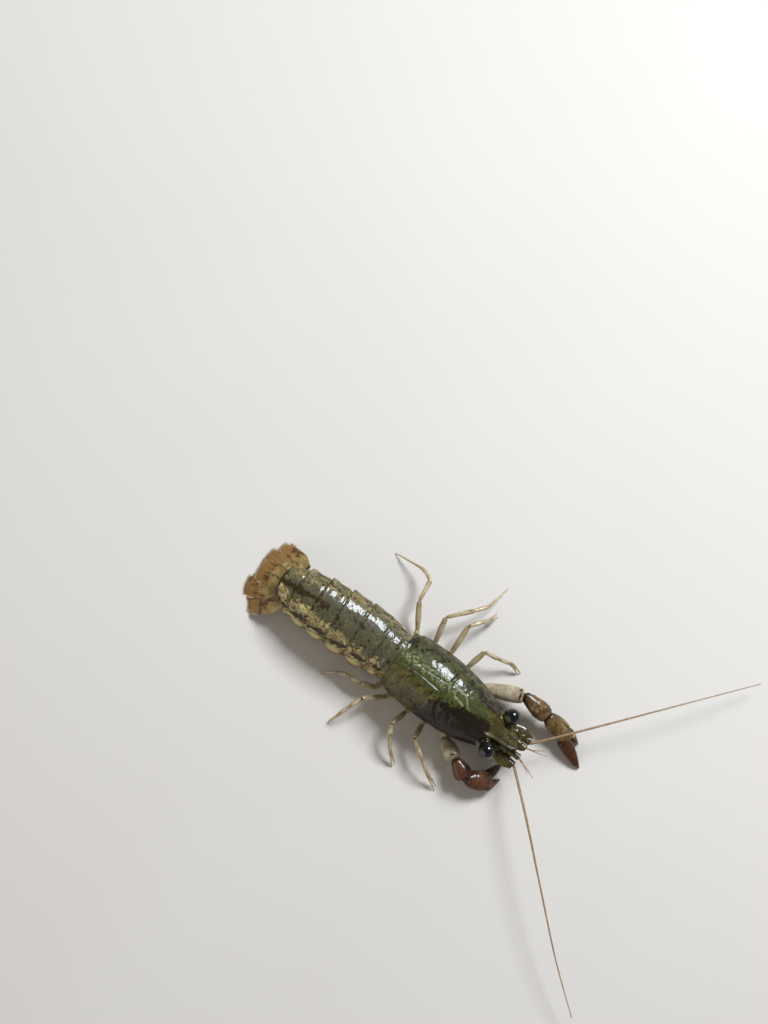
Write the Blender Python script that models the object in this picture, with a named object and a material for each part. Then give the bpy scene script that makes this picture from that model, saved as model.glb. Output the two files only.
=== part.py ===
"""A juvenile eastern crayfish, 25 mm from rostrum to tail fan, as a still life-size model.

The animal lies belly down on the floor with its left claw held forward, its right claw
folded in front of the head and its tail fan sloping down to the floor. X runs forward
along the carapace, Y to the animal's left and Z up, in millimetres, and every point is
turned to metres when its mesh is made. Body places are measured from the middle of the
joint between the carapace and the abdomen.
"""

import math

import bmesh
import bpy
from mathutils import Matrix, Vector

MM = 0.001
ORIGIN = Vector((7.233, 1.292, 0.0))  # the middle of the whole model's box, in body places
UP = Vector((0.0, 0.0, 1.0))

# Driving sizes, in millimetres
JOINT_GAP = 0.28  # between two nodes that meet face to face
CARAPACE_LENGTH = 9.05  # rear edge to the orbit's rim, without the rostrum
ROSTRUM_TIP = 11.8
HEAD_FRONT = 10.5
LOWER_EDGE = 1.35  # height of the carapace's lower edge
LEG_HEIGHT = 0.8  # height of the leg roots
LEG_RADIUS = 0.27
BELLY = 0.35  # height of the underside of the thorax
THORAX_HALF = 1.2
FLAGELLUM_RADIUS = 0.25
EYE_RADIUS = 0.64
FOOT_SINK = 0.06  # how far a foot is modelled into the floor before it is cut flat

# The carapace from its rear edge forward: place, half width, top, lower edge
CARAPACE = (
    (0.0, 2.06, 4.28, 1.45),
    (0.9, 2.4, 4.62, LOWER_EDGE),
    (2.8, 2.55, 4.94, LOWER_EDGE),
    (4.7, 2.54, 5.0, LOWER_EDGE),
    (6.4, 2.4, 4.84, LOWER_EDGE),
    (8.0, 2.04, 4.4, 1.6),
    (CARAPACE_LENGTH, 1.66, 3.98, 2.15),
)
CARAPACE_STATIONS = (
    0.0, 0.3, 0.9, 1.8, 2.8, 3.5, 4.0, 4.2, 4.4, 4.6, 4.85, 5.4, 6.0, 6.6, 7.2, 7.8, 8.3,
    8.7, CARAPACE_LENGTH,
)  # fmt: skip
ARCH_ANGLES = (90, 82, 73, 62, 48, 32, 16, 0)  # degrees up from the widest line
TUCK_ANGLES = (-28, -56, -80)  # and down from it
ARCH_POWER = 0.9  # under 1 makes the arch a little boxy
WIDEST = 0.33  # the widest line's share of the shell's height
TUCK = 0.86  # the lower edge's half width as a share of the widest
GROOVE_DEPTH, GROOVE_WIDTH = 0.17, 0.2
GROOVE_PLACE, GROOVE_SWEEP = 4.4, 2.6  # on the midline, and how far it runs forward below
AREOLA_DEPTH = 0.06  # of the narrow strip along the back, behind the groove
REAR_CORNER, FRONT_CORNER = 0.55, 0.6  # how far the margins run in at their lower corners
ORBIT_DEPTH, ORBIT_SHARE = 0.5, 0.72  # the notch behind the eye, and its share of the height
LOW_CEILING, HIGH_CEILING = 1.62, 3.28  # inside the shell, over the thorax and the head
NECK_START, NECK_END = 5.7, 6.0  # where the ceiling steps up
ROOF = 0.62  # least thickness of the shell over the hollow
RIDGE = ((7.3, 1.0), (8.0, 1.06), (8.6, 1.04), (9.0, 0.98))  # behind each orbit, from above
RIDGE_RADIUS = 0.15

# The rostrum: place, half width, top, thickness
ROSTRUM = (
    (8.1, 1.0, 4.2, 0.6),
    (9.0, 0.8, 4.06, 0.62),
    (9.8, 0.62, 3.92, 0.54),
    (10.7, 0.52, 3.82, 0.5),
    (11.35, 0.34, 3.78, 0.4),
    (ROSTRUM_TIP, 0.07, 3.8, 0.14),
)
ROSTRUM_STATIONS = (8.1, 8.6, 9.0, 9.4, 9.8, 10.25, 10.7, 11.05, 11.45, ROSTRUM_TIP)
RIM_RAISE = 0.1  # of the rostrum's thickened margins over its middle

# The head under the carapace: place, half width, bottom, top
HEAD = (
    (7.48, 1.0, 1.6, 2.6),
    (8.0, 1.12, 1.5, 3.0),
    (9.6, 1.12, 1.45, 3.0),
    (10.3, 1.2, 1.5, 2.98),
    (HEAD_FRONT, 1.12, 1.62, 2.9),
)
# The thorax: place, half width, bottom, top
THORAX = (
    (0.1, 0.95, 0.5, 1.3),
    (0.6, THORAX_HALF, BELLY, 1.36),
    (5.9, THORAX_HALF, BELLY, 1.36),
    (6.3, THORAX_HALF, BELLY, 2.5),
    (6.9, 1.05, BELLY + 0.05, 2.6),
    (7.2, 0.95, 0.5, 2.55),
)

# The abdomen's six segments, front to back: length, half width, height over the axis,
# drop of the side plates under it, share of the width lost towards the rear
SEGMENTS = (
    (1.25, 1.95, 1.86, 1.2, 0.0),
    (1.95, 2.18, 1.86, 1.78, 0.0),
    (1.85, 2.26, 1.84, 1.84, 0.0),
    (1.75, 2.2, 1.74, 1.76, 0.0),
    (1.65, 2.1, 1.58, 1.62, 0.03),
    (1.55, 1.9, 1.34, 1.0, 0.32),
)
SEGMENT_SHARES = (0.0, 0.1, 0.22, 0.3, 0.5, 0.72, 0.88, 1.0)  # sections along one segment
PLATE_STEP = 0.075  # how much of its size a segment gains where its raised plate begins
PLATE_FLARE = 0.03  # and again at its rear edge
SIDE_PLATE_WAIST = 0.4  # a side plate's depth at its ends, as a share of its middle
AXIS_HEIGHT = 2.42
TAIL_BEND_START, TAIL_BEND = 3.4, 24.0  # where the tail starts down, and its last pitch
TAIL_YAW = 5.0  # degrees that the abdomen swings to the animal's right
STERNUM = 0.62  # how far under the axis the belly wall runs, as a share of the drop
SWIMMERET_SEGMENTS = (2, 3, 4, 5)

# The tail fan's plates: half width and length. For a uropod also its root behind and beside
# the hinge, and the degrees that it is turned out, rolled down, and its depth under the telson
TELSON = (0.86, 3.0)
TELSON_FORWARD = 0.12  # how far ahead of the hinge its root lies
UROPODS = {
    "inner_left": ((0.61, 3.24), (-0.02, 1.11), 16.0, 3.5, 0.5),
    "inner_right": ((0.77, 3.28), (0.01, 1.205), 20.2, -7.7, 0.362),
    "outer_left": ((0.56, 2.68), (-0.64, 2.06), 23.5, 23.0, 0.82),
    "outer_right": ((0.56, 2.88), (-0.2, 1.78), 29.2, 14.1, 0.96),
}
FAN_PITCH, FAN_TURN = 35.6, 1.8  # degrees down from level, and to the animal's right
FAN_HINGE, FAN_SETBACK = 0.5, 0.189  # the hinge over the axis, and behind the last segment
FAN_THICKNESS = 0.5
FAN_RAY = 0.09  # height of the ridge along each plate
FAN_STATIONS = (0.0, 0.12, 0.3, 0.5, 0.68, 0.82, 0.92, 0.985)

# Walking legs, from the second pair back: root place, then knee, wrist, ankle and tip
LEFT_LEGS = {
    2: (4.75, (5.2, 4.5, 1.95), (6.4, 4.75, 1.75), (7.7, 5.3, 0.85), (8.6, 5.15, 0.0)),
    3: (3.45, (3.0, 5.3, 2.1), (3.75, 6.3, 1.75), (4.15, 7.0, 1.0), (4.3, 7.8, 0.0)),
    4: (2.15, (1.2, 4.75, 2.0), (2.75, 6.65, 2.1), (3.4, 7.6, 1.65), (3.8, 9.9, 0.0)),
    5: (0.85, (-1.2, 4.5, 2.0), (-1.5, 6.5, 1.95), (-2.7, 6.75, 1.2), (-4.9, 6.6, 0.0)),
}
RIGHT_LEGS = {
    2: (4.75, (4.9, -4.1, 1.9), (6.4, -5.0, 1.75), (7.7, -5.7, 0.85), (8.7, -6.1, 0.0)),
    3: (3.45, (2.85, -4.3, 1.95), (3.3, -5.1, 1.75), (4.3, -6.1, 0.85), (5.0, -6.7, 0.0)),
    4: (2.15, (-0.15, -4.2, 1.95), (-0.5, -5.2, 1.75), (-0.8, -6.3, 0.85), (-1.0, -7.0, 0.0)),
    5: (0.85, (-0.9, -3.25, 1.5), (-1.9, -3.3, 1.4), (-2.8, -3.55, 0.8), (-3.8, -4.4, 0.0)),
}
LEG_CLEAR = 2.75  # how far out a leg runs low before it rises past the carapace
LEG_SIDES = 8
PINCER_PAIRS = (2, 3)  # the legs that end in a small pincer
PINCER_SPREAD = 0.3  # between the pincer's two tips

# The claws: arm end, wrist start and end, hand start, palm end, both finger tips
LEFT_CLAW = {
    "elbow": (6.75, 2.55, 0.74),
    "arm_end": (9.65, 3.75, 1.9),
    "wrist": ((9.9, 3.78, 1.92), (11.95, 3.62, 1.6)),
    "hand": ((12.2, 3.6, 1.5), (14.1, 3.42, 0.95)),
    "fixed_tip": (15.45, 3.55, 0.1),
    "finger_tip": (16.2, 2.2, 0.12),
}
RIGHT_CLAW = {
    "elbow": (6.75, -2.55, 0.74),
    "arm_end": (8.35, -3.35, 1.55),
    "wrist": ((8.6, -3.5, 1.6), (9.75, -3.95, 1.5)),
    "hand": ((10.08, -3.98, 1.4), (11.35, -3.2, 0.9)),
    "fixed_tip": (12.2, -2.35, 0.1),
    "finger_tip": (11.6, -1.35, 0.12),
}
CLAW_ROOT = 6.2
CLAW_ROOT_HEIGHT = 0.72
PALM = (0.76, 0.5)  # half width and half height
PALM_PROFILE = ((0.46, 0.66), (0.76, 0.9), (0.97, 1.0), (1.02, 1.0), (1.0, 0.92), (0.9, 0.76))
FINGER_APART = 0.46  # of each finger's root from the middle of the palm
WRIST = (0.68, 0.56)
ARM = (0.36, 0.5)  # radius at the root and at the end
CLAW_SIDES = 12
FINGER_TIP = 0.1  # radius

# Feelers, eyes and mouth legs, as points that they pass on the left side
LEFT_FEELER = ((12.4, 1.3, 2.42), (15.0, 4.6, 3.0), (19.2, 10.0, 2.9), (23.9, 16.0, 1.6))
RIGHT_FEELER = (
    (12.4, -1.3, 2.42), (15.4, -3.9, 3.0), (19.3, -7.3, 3.0), (23.4, -10.7, 2.4),
    (27.2, -13.4, 1.5),
)  # fmt: skip
FEELER_STEPS = 12
ANTENNULE = (
    (HEAD_FRONT + JOINT_GAP, 0.39, 2.76), (11.6, 0.42, 2.8), (12.6, 0.62, 2.86), (13.9, 1.0, 2.7),
)  # fmt: skip
ANTENNULE_FORK = ((11.5, 0.42, 2.8), (12.3, 0.62, 3.05), (13.3, 1.15, 3.45))
PEDUNCLE = ((HEAD_FRONT + JOINT_GAP, 1.0, 2.08), (11.3, 1.12, 2.18), (12.14, 1.22, 2.34))
SCALE_BLADE = ((10.95, 1.3, 2.1), (11.45, 1.72, 2.16), (12.0, 1.95, 2.24))
EYE_CENTRE = (9.68, 1.62, 3.66)
STALK_END = (9.42, 1.32, 3.16)
MOUTH_LEG = (
    (7.2 + JOINT_GAP, 0.5, 0.85), (7.96, 0.55, 0.9), (8.9, 0.62, 0.95), (9.5, 0.62, 0.85),
    (9.9, 0.55, 0.45),
)  # fmt: skip

COLOURS = {
    "carapace": "#4a4a20",
    "thorax": "#b7a67a",
    "head": "#6d6434",
    "abdomen": "#86793f",
    "fan": "#a4763a",
    "eye": "#0d0f10",
    "feeler": "#a98c5c",
    "leg": "#c9b58b",
    "arm": "#9c8a68",
    "wrist": "#6f5a2e",
    "hand": "#705636",
    "finger": "#4a2013",
    "swimmeret": "#c4b48c",
    "mouth": "#a8915e",
}


def hermite(table, place):
    """Row of the table's values at a place, on a smooth curve through its rows."""
    rows = list(table)
    if place <= rows[0][0]:
        return rows[0][1:]
    if place >= rows[-1][0]:
        return rows[-1][1:]
    k = max(i for i in range(len(rows) - 1) if rows[i][0] <= place)
    here, there = rows[k], rows[k + 1]
    before, after = rows[max(k - 1, 0)], rows[min(k + 2, len(rows) - 1)]
    span = there[0] - here[0]
    t = (place - here[0]) / span
    found = []
    for column in range(1, len(here)):
        slope_here = (there[column] - before[column]) / (there[0] - before[0]) * span
        slope_there = (after[column] - here[column]) / (after[0] - here[0]) * span
        found.append(
            (2 * t**3 - 3 * t**2 + 1) * here[column]
            + (t**3 - 2 * t**2 + t) * slope_here
            + (3 * t**2 - 2 * t**3) * there[column]
            + (t**3 - t**2) * slope_there
        )
    return tuple(found)


def smooth_step(low, high, value):
    """0 under low, 1 over high and an even rise between them."""
    t = min(max((value - low) / (high - low), 0.0), 1.0)
    return t * t * (3 - 2 * t)


def linear(code):
    """Scene-linear red, green, blue and alpha of a hex colour."""
    parts = [int(code[i : i + 2], 16) / 255 for i in (1, 3, 5)]
    return [p / 12.92 if p < 0.04045 else ((p + 0.055) / 1.055) ** 2.4 for p in parts] + [1.0]


def in_row(point):
    """A body place in millimetres as a point of the part's own frame in metres."""
    return (Vector(point) - ORIGIN) * MM


def between(start, end, share):
    """The point a share of the way from start to end."""
    return Vector(start).lerp(Vector(end), share)


def mirrored(point, side):
    """A point of the left side, or its image on the right."""
    return (point[0], point[1] * side, point[2])


def closed(half_ring):
    """A whole section from its left half, whose first and last points lie on the middle."""
    return half_ring + [(x, -y, z) for x, y, z in reversed(half_ring[1:-1])]


def finish(name, mesh, kind, roughness=0.3):
    """Adds a node with its own glossy shell material."""
    material = bpy.data.materials.new(name)
    material.use_nodes = True
    shader = next(n for n in material.node_tree.nodes if n.type == "BSDF_PRINCIPLED")
    shader.inputs["Base Color"].default_value = linear(COLOURS[kind])
    shader.inputs["Roughness"].default_value = roughness
    shader.inputs["Metallic"].default_value = 0.0
    mesh.name = name
    mesh.materials.clear()
    mesh.materials.append(material)
    mesh.shade_smooth()
    mesh.set_sharp_from_angle(angle=math.radians(50))
    bpy.context.scene.collection.objects.link(bpy.data.objects.new(name, mesh))


def settle(bm, name):
    """The mesh of a bmesh, with its faces turned out."""
    bmesh.ops.recalc_face_normals(bm, faces=bm.faces)
    if bm.calc_volume(signed=True) < 0:
        bmesh.ops.reverse_faces(bm, faces=bm.faces)
    mesh = bpy.data.meshes.new(name)
    bm.to_mesh(mesh)
    bm.free()
    return mesh


def loft(rings):
    """A closed mesh: the first ring's face is extruded ring by ring to the last."""
    bm = bmesh.new()
    cap = bm.faces.new([bm.verts.new(in_row(point)) for point in rings[0]])
    for number, ring in enumerate(rings[1:]):
        grown = bmesh.ops.extrude_face_region(bm, geom=[cap])
        if number:
            bmesh.ops.delete(bm, geom=[cap], context="FACES_ONLY")
        cap = next(item for item in grown["geom"] if isinstance(item, bmesh.types.BMFace))
        for vertex, point in zip(cap.verts, ring, strict=True):
            vertex.co = in_row(point)
    return settle(bm, "loft")


def ball(centre, radius, sides, rows):
    """A closed round mesh."""
    bm = bmesh.new()
    bmesh.ops.create_uvsphere(bm, u_segments=sides, v_segments=rows, radius=radius * MM)
    bmesh.ops.translate(bm, vec=in_row(centre), verts=bm.verts)
    return settle(bm, "ball")


def largest(mesh):
    """Keeps only the largest closed surface of a mesh."""
    bm = bmesh.new()
    bm.from_mesh(mesh)
    left, islands = set(bm.verts), []
    while left:
        front = [left.pop()]
        island = set(front)
        while front:
            for edge in front.pop().link_edges:
                for vertex in edge.verts:
                    if vertex in left:
                        left.discard(vertex)
                        island.add(vertex)
                        front.append(vertex)
        islands.append(island)
    keep = max(islands, key=len)
    bmesh.ops.delete(bm, geom=[v for v in bm.verts if v not in keep], context="VERTS")
    return settle(bm, mesh.name)


def fuse(meshes):
    """One closed mesh of several that overlap, joined by one union."""
    group = bpy.data.collections.new("pieces")
    bpy.context.scene.collection.children.link(group)
    objects = [bpy.data.objects.new("piece", mesh) for mesh in meshes]
    bpy.context.scene.collection.objects.link(objects[0])
    for extra in objects[1:]:
        group.objects.link(extra)
    union = objects[0].modifiers.new("union", "BOOLEAN")
    union.operation = "UNION"
    union.operand_type = "COLLECTION"
    union.collection = group
    union.solver = "EXACT"
    depsgraph = bpy.context.evaluated_depsgraph_get()
    joined = bpy.data.meshes.new_from_object(objects[0].evaluated_get(depsgraph))
    for item in objects:
        bpy.data.objects.remove(item)
    bpy.data.collections.remove(group)
    return largest(joined)


def on_floor(mesh):
    """Cuts off what reaches under the floor, which leaves a small flat to rest on."""
    bm = bmesh.new()
    bm.from_mesh(mesh)
    cut = bmesh.ops.bisect_plane(
        bm,
        geom=[*bm.verts, *bm.edges, *bm.faces],
        dist=1e-7,
        plane_co=(0, 0, 0),
        plane_no=(0, 0, -1),
        clear_outer=True,
    )
    rim = [item for item in cut["geom_cut"] if isinstance(item, bmesh.types.BMEdge)]
    if rim:
        bmesh.ops.holes_fill(bm, edges=rim, sides=0)
        bmesh.ops.dissolve_degenerate(bm, dist=1e-7, edges=bm.edges)
    return settle(bm, mesh.name)


def frames(points, up, first, last):
    """Across and up directions at each point of a route, carried along without a twist."""
    ways = []
    for k, point in enumerate(points):
        into = (Vector(point) - Vector(points[max(k - 1, 0)])).normalized()
        out = (Vector(points[min(k + 1, len(points) - 1)]) - Vector(point)).normalized()
        ways.append((into + out).normalized())
    ways[0] = Vector(first).normalized() if first else ways[0]
    ways[-1] = Vector(last).normalized() if last else ways[-1]
    across = Vector(up).cross(ways[0]).normalized()
    found = [(across, ways[0].cross(across))]
    for before, way in zip(ways, ways[1:]):
        across = before.rotation_difference(way) @ across
        across = (across - way * across.dot(way)).normalized()
        found.append((across, way.cross(across)))
    return found


def tube(points, sizes, sides=LEG_SIDES, up=UP, first=None, last=None):
    """Rings round a route; a size is a radius, or a half width and half height."""
    rings = []
    for point, size, (across, rise) in zip(points, sizes, frames(points, up, first, last)):
        wide, high = size if isinstance(size, tuple) else (size, size)
        rings.append([
            Vector(point)
            + across * wide * math.cos(2 * math.pi * (k + 0.5) / sides)
            + rise * high * math.sin(2 * math.pi * (k + 0.5) / sides)
            for k in range(sides)
        ])
    return rings


def shell_point(place, degrees):
    """Half width and height of the shell, at an angle up from its widest line."""
    half, top, edge = hermite(CARAPACE, place)
    widest = edge + WIDEST * (top - edge)
    a = math.radians(abs(degrees))
    if degrees >= 0:
        y = half * max(math.cos(a), 0.0) ** ARCH_POWER
        return y, widest + (top - widest) * math.sin(a) ** ARCH_POWER
    edge_half = half * TUCK
    return edge_half + (half - edge_half) * math.cos(a), widest - (widest - edge) * math.sin(a)


def shell_height(place, y):
    """Height of the shell's back over a point to the side of its middle line."""
    half = hermite(CARAPACE, place)[0]
    return shell_point(place, math.degrees(math.acos((y / half) ** (1 / ARCH_POWER))))[1]


def margin(station, share):
    """How far the rear and front margins move a point forward, low on the sides."""
    low = 1 - min(max(share, 0.0), 1.0)
    rear = REAR_CORNER * low**2 * (1 - smooth_step(0.0, 1.8, station))
    orbit = ORBIT_DEPTH * math.exp(-(((share - ORBIT_SHARE) / 0.17) ** 2))
    front = (FRONT_CORNER * low**1.5 + orbit) * smooth_step(7.4, CARAPACE_LENGTH, station)
    return rear - front


def sweep(station, share):
    """How far the cervical groove's curve moves a point forward down the sides."""
    low = 1 - min(max(share, 0.0), 1.0)
    behind = smooth_step(0.9, GROOVE_PLACE, station)
    ahead = 1 - smooth_step(GROOVE_PLACE, 8.6, station)
    return GROOVE_SWEEP * behind * ahead * low**1.2 * smooth_step(0.02, 0.3, share)


def groove(station, share):
    """Depth of the cervical groove, which fades out low on the sides."""
    fade = smooth_step(0.22, 0.42, share)
    return GROOVE_DEPTH * fade * math.exp(-(((station - GROOVE_PLACE) / GROOVE_WIDTH) ** 2))


def shell_ring(station):
    """The carapace's section: an arch outside, and a hollow for the thorax and the head."""
    _, top, edge = hermite(CARAPACE, station)
    ring = []
    for degrees in ARCH_ANGLES + TUCK_ANGLES:
        share = (shell_point(station, degrees)[1] - edge) / (top - edge)
        place = station + margin(station, share) + sweep(station, share)
        y, z = shell_point(place, degrees)
        sink = groove(station, share)
        if degrees == ARCH_ANGLES[1]:
            sink += AREOLA_DEPTH * smooth_step(0.3, 0.9, place) * (1 - smooth_step(3.6, 4.2, place))
        a = math.radians(degrees)
        ring.append((place, y - sink * math.cos(a), z - sink * math.sin(a)))
    ceiling = LOW_CEILING + (HIGH_CEILING - LOW_CEILING) * smooth_step(NECK_START, NECK_END, station)
    ceiling = min(ceiling, top - ROOF)
    inner = THORAX_HALF + JOINT_GAP
    foot = ring[-1][1] - 0.1
    hollow = (
        (foot, edge), (min(foot - 0.2, inner + 0.1), edge + 0.02), (inner - 0.02, edge + 0.12),
        (inner - 0.06, ceiling - 0.05), (inner - 0.2, ceiling), (0.0, ceiling),
    )  # fmt: skip
    for y, z in hollow:
        ring.append((station + margin(station, (z - edge) / (top - edge)), y, z))
    return closed(ring)


def rostrum_ring(place):
    """The rostrum's section: a shallow trough between two thickened margins."""
    half, top, thick = hermite(ROSTRUM, place)
    rim = min(RIM_RAISE, half * 0.4)
    return closed([
        (place, 0.0, top - rim), (place, half * 0.5, top - rim * 0.8), (place, half * 0.84, top),
        (place, half, top - thick * 0.3), (place, half * 0.8, top - thick * 0.8),
        (place, half * 0.3, top - thick), (place, 0.0, top - thick),
    ])  # fmt: skip


def carapace():
    """The one-piece shell over head and thorax, with its rostrum and orbit ridges."""
    pieces = [loft([shell_ring(station) for station in CARAPACE_STATIONS])]
    pieces.append(loft([rostrum_ring(place) for place in ROSTRUM_STATIONS]))
    for side in (1, -1):
        spots = [(x, y * side, shell_height(x, y) - 0.04) for x, y in RIDGE]
        sizes = [RIDGE_RADIUS * 0.5, RIDGE_RADIUS, RIDGE_RADIUS, RIDGE_RADIUS * 0.7]
        pieces.append(loft(tube(spots, sizes, 6)))
    finish("carapace", fuse(pieces), "carapace", 0.2)


def block_rings(table, stations, power):
    """Rounded box sections along a table of half width, bottom and top."""
    sides = 12
    rings = []
    for place in stations:
        half, bottom, top = hermite(table, place)
        middle, rise = (bottom + top) / 2, (top - bottom) / 2
        ring = []
        for k in range(sides):
            a = 2 * math.pi * (k + 0.5) / sides
            y = half * math.copysign(abs(math.cos(a)) ** power, math.cos(a))
            z = rise * math.copysign(abs(math.sin(a)) ** power, math.sin(a))
            ring.append((place, y, middle + z))
        rings.append(ring)
    return rings


def thorax():
    """The underside between the legs, with a low boss for each leg and claw."""
    pieces = [loft(block_rings(THORAX, [row[0] for row in THORAX], 0.45))]
    roots = [(legs[0], LEG_HEIGHT, LEG_RADIUS + 0.04) for legs in LEFT_LEGS.values()]
    roots.append((CLAW_ROOT, CLAW_ROOT_HEIGHT, ARM[0] + 0.03))
    for side in (1, -1):
        for place, height, radius in roots:
            start, end = (place, side * 0.7, height), (place, side * (THORAX_HALF + 0.1), height)
            pieces.append(loft(tube([start, end], [radius, radius])))
    finish("thorax", fuse(pieces), "thorax", 0.35)


def head():
    """The front of the head under the rostrum, which carries eyes and feelers."""
    stations = (7.48, 7.75, 8.0, 9.6, 10.3, HEAD_FRONT)
    finish("head", loft(block_rings(HEAD, stations, 0.5)), "head", 0.3)


def tail_points():
    """The abdomen's axis in small steps: length so far, place and backward direction."""
    step = 0.05
    spot, run, found = Vector((-JOINT_GAP, 0.0, AXIS_HEIGHT)), 0.0, []
    total = sum(row[0] for row in SEGMENTS) + 0.6
    while run < total:
        pitch = math.radians(TAIL_BEND) * smooth_step(TAIL_BEND_START, total + 1.0, run)
        yaw = math.radians(TAIL_YAW) * smooth_step(0.0, 4.0, run)
        level = Vector((-math.cos(yaw), -math.sin(yaw), 0.0))
        along = level * math.cos(pitch) - UP * math.sin(pitch)
        found.append((run, spot.copy(), along))
        spot += along * step
        run += step
    return found


TAIL = tail_points()


def tail_frame(run):
    """Place, backward direction, left and up on the abdomen's axis."""
    _, spot, along = min(TAIL, key=lambda row: abs(row[0] - run))
    left = UP.cross(-along).normalized()
    return spot, along, left, (-along).cross(left)


def segment_ring(run, share, row):
    """One section of an abdominal segment: arched plate, side plates and belly wall."""
    spot, _, left_way, up_way = tail_frame(run)
    _, half, rise, drop, taper = row
    half *= 1 - taper * smooth_step(0.3, 1.0, share)
    step = smooth_step(0.12, 0.3, share)
    swell = 1 - PLATE_STEP * (1 - step) + PLATE_FLARE * smooth_step(0.5, 0.95, share)
    lobe = math.sin(math.pi * (0.08 + 0.86 * share)) ** 0.55
    plate = drop * (SIDE_PLATE_WAIST + (1 - SIDE_PLATE_WAIST) * lobe)
    wide = half * (0.9 + 0.12 * lobe)
    outside = []
    for degrees in (90, 72, 54, 36, 18, 0):
        a = math.radians(degrees)
        outside.append((half * math.cos(a) ** 0.88 * swell, rise * math.sin(a) ** 0.88 * swell))
    outside += [
        (wide * 1.01, -plate * 0.4), (wide * 0.98, -plate * 0.8), (wide * 0.88, -plate),
        (wide * 0.68, -plate * 0.82), (half * 0.5, -drop * STERNUM * 0.8), (0.0, -drop * STERNUM),
    ]  # fmt: skip
    return [spot + left_way * y + up_way * z for _, y, z in closed([(0.0, y, z) for y, z in outside])]


def abdomen():
    """Six segments behind the carapace, each with its raised plate; returns their length."""
    run = 0.0
    for number, row in enumerate(SEGMENTS, 1):
        length = row[0] - JOINT_GAP
        rings = [segment_ring(run + length * share, share, row) for share in SEGMENT_SHARES]
        finish(f"abdomen_{number}", loft(rings), "abdomen", 0.25)
        run += row[0]
    return run


def fan_plate(root, along, across, crown, half, length):
    """A plate of the tail fan: narrow root, rounded end and a ridge along its middle."""
    rings = []
    for t in FAN_STATIONS:
        round_end = math.sqrt(1 - 0.97 * (max(t - 0.55, 0) / 0.45) ** 2.2)
        width = half * (0.55 + 0.45 * smooth_step(0.0, 0.4, t)) * round_end
        high = FAN_THICKNESS / 2 * (1 - 0.45 * smooth_step(0.7, 1.0, t))
        centre = root + along * length * t - crown * 0.12 * t * t
        ridge = FAN_RAY * math.sin(math.pi * min(t * 1.02, 1.0))
        outline = (
            (1.0, 0.0), (0.85, 0.6), (0.35, 0.95), (0.0, 1.0 + ridge / high), (-0.35, 0.95),
            (-0.85, 0.6), (-1.0, 0.0), (-0.8, -0.7), (0.0, -1.0), (0.8, -0.7),
        )  # fmt: skip
        rings.append([centre + across * width * y + crown * high * z for y, z in outline])
    return on_floor(loft(rings))


def tail_fan(run):
    """Telson and the two pairs of uropods, fanned out and sloping to the floor."""
    spot, along, _, up = tail_frame(run)
    level = Matrix.Rotation(math.radians(FAN_TURN), 3, "Z") @ Vector((along.x, along.y, 0)).normalized()
    pitch = math.radians(FAN_PITCH)
    down = level * math.cos(pitch) - UP * math.sin(pitch)
    left = UP.cross(-level)
    crown = (-down).cross(left)
    hinge = spot + up * FAN_HINGE + along * FAN_SETBACK
    root = hinge - down * TELSON_FORWARD
    finish("telson", fan_plate(root, down, left, crown, *TELSON), "fan", 0.3)
    for word, (size, (back, out), turn, roll, sink) in UROPODS.items():
        side = 1 if word.endswith("left") else -1
        rolled, turned = math.radians(roll), math.radians(turn)
        outward = left * side * math.cos(rolled) - crown * math.sin(rolled)
        face = left * side * math.sin(rolled) + crown * math.cos(rolled)
        way = down * math.cos(turned) + outward * math.sin(turned)
        across = outward * math.cos(turned) - down * math.sin(turned)
        root = hinge + down * back + left * side * out - crown * sink
        finish(f"uropod_{word}", fan_plate(root, way, across, face, *size), "fan", 0.3)


def walking_leg(number, side, word, route):
    """A jointed leg that rises to its knee and stands on its tip."""
    place, knee, wrist, ankle, tip = route
    root = Vector((place, side * (THORAX_HALF + 0.1 + JOINT_GAP), LEG_HEIGHT))
    clear = Vector((between(root, knee, 0.35).x, side * LEG_CLEAR, LEG_HEIGHT))
    foot = Vector(tip) - UP * FOOT_SINK
    stops = [root, clear, Vector(knee), Vector(wrist), Vector(ankle), foot]
    points, sizes = [root], [LEG_RADIUS + 0.02]
    for k in range(1, len(stops) - 1):
        back = (stops[k - 1] - stops[k]).normalized()
        on = (stops[k + 1] - stops[k]).normalized()
        points += [stops[k] + back * 0.24, stops[k], stops[k] + on * 0.22]
        sizes += [LEG_RADIUS + 0.055, LEG_RADIUS - 0.015, LEG_RADIUS + 0.02]
    points += [between(stops[-2], foot, 0.62), foot]
    sizes += [LEG_RADIUS - 0.07, 0.11]
    limb = loft(tube(points, sizes, first=(0, side, 0), last=(0, 0, -1)))
    if number in PINCER_PAIRS:
        outward = UP.cross(foot - Vector(ankle)).normalized() * side
        second = [between(wrist, ankle, 0.75), between(ankle, tip, 0.2) - outward * 0.2,
                  between(ankle, tip, 0.82) - outward * PINCER_SPREAD]  # fmt: skip
        limb = fuse([limb, loft(tube(second, [0.2, 0.2, 0.09], 6))])
    finish(f"leg_{number}_{word}", on_floor(limb), "leg", 0.3)


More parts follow.
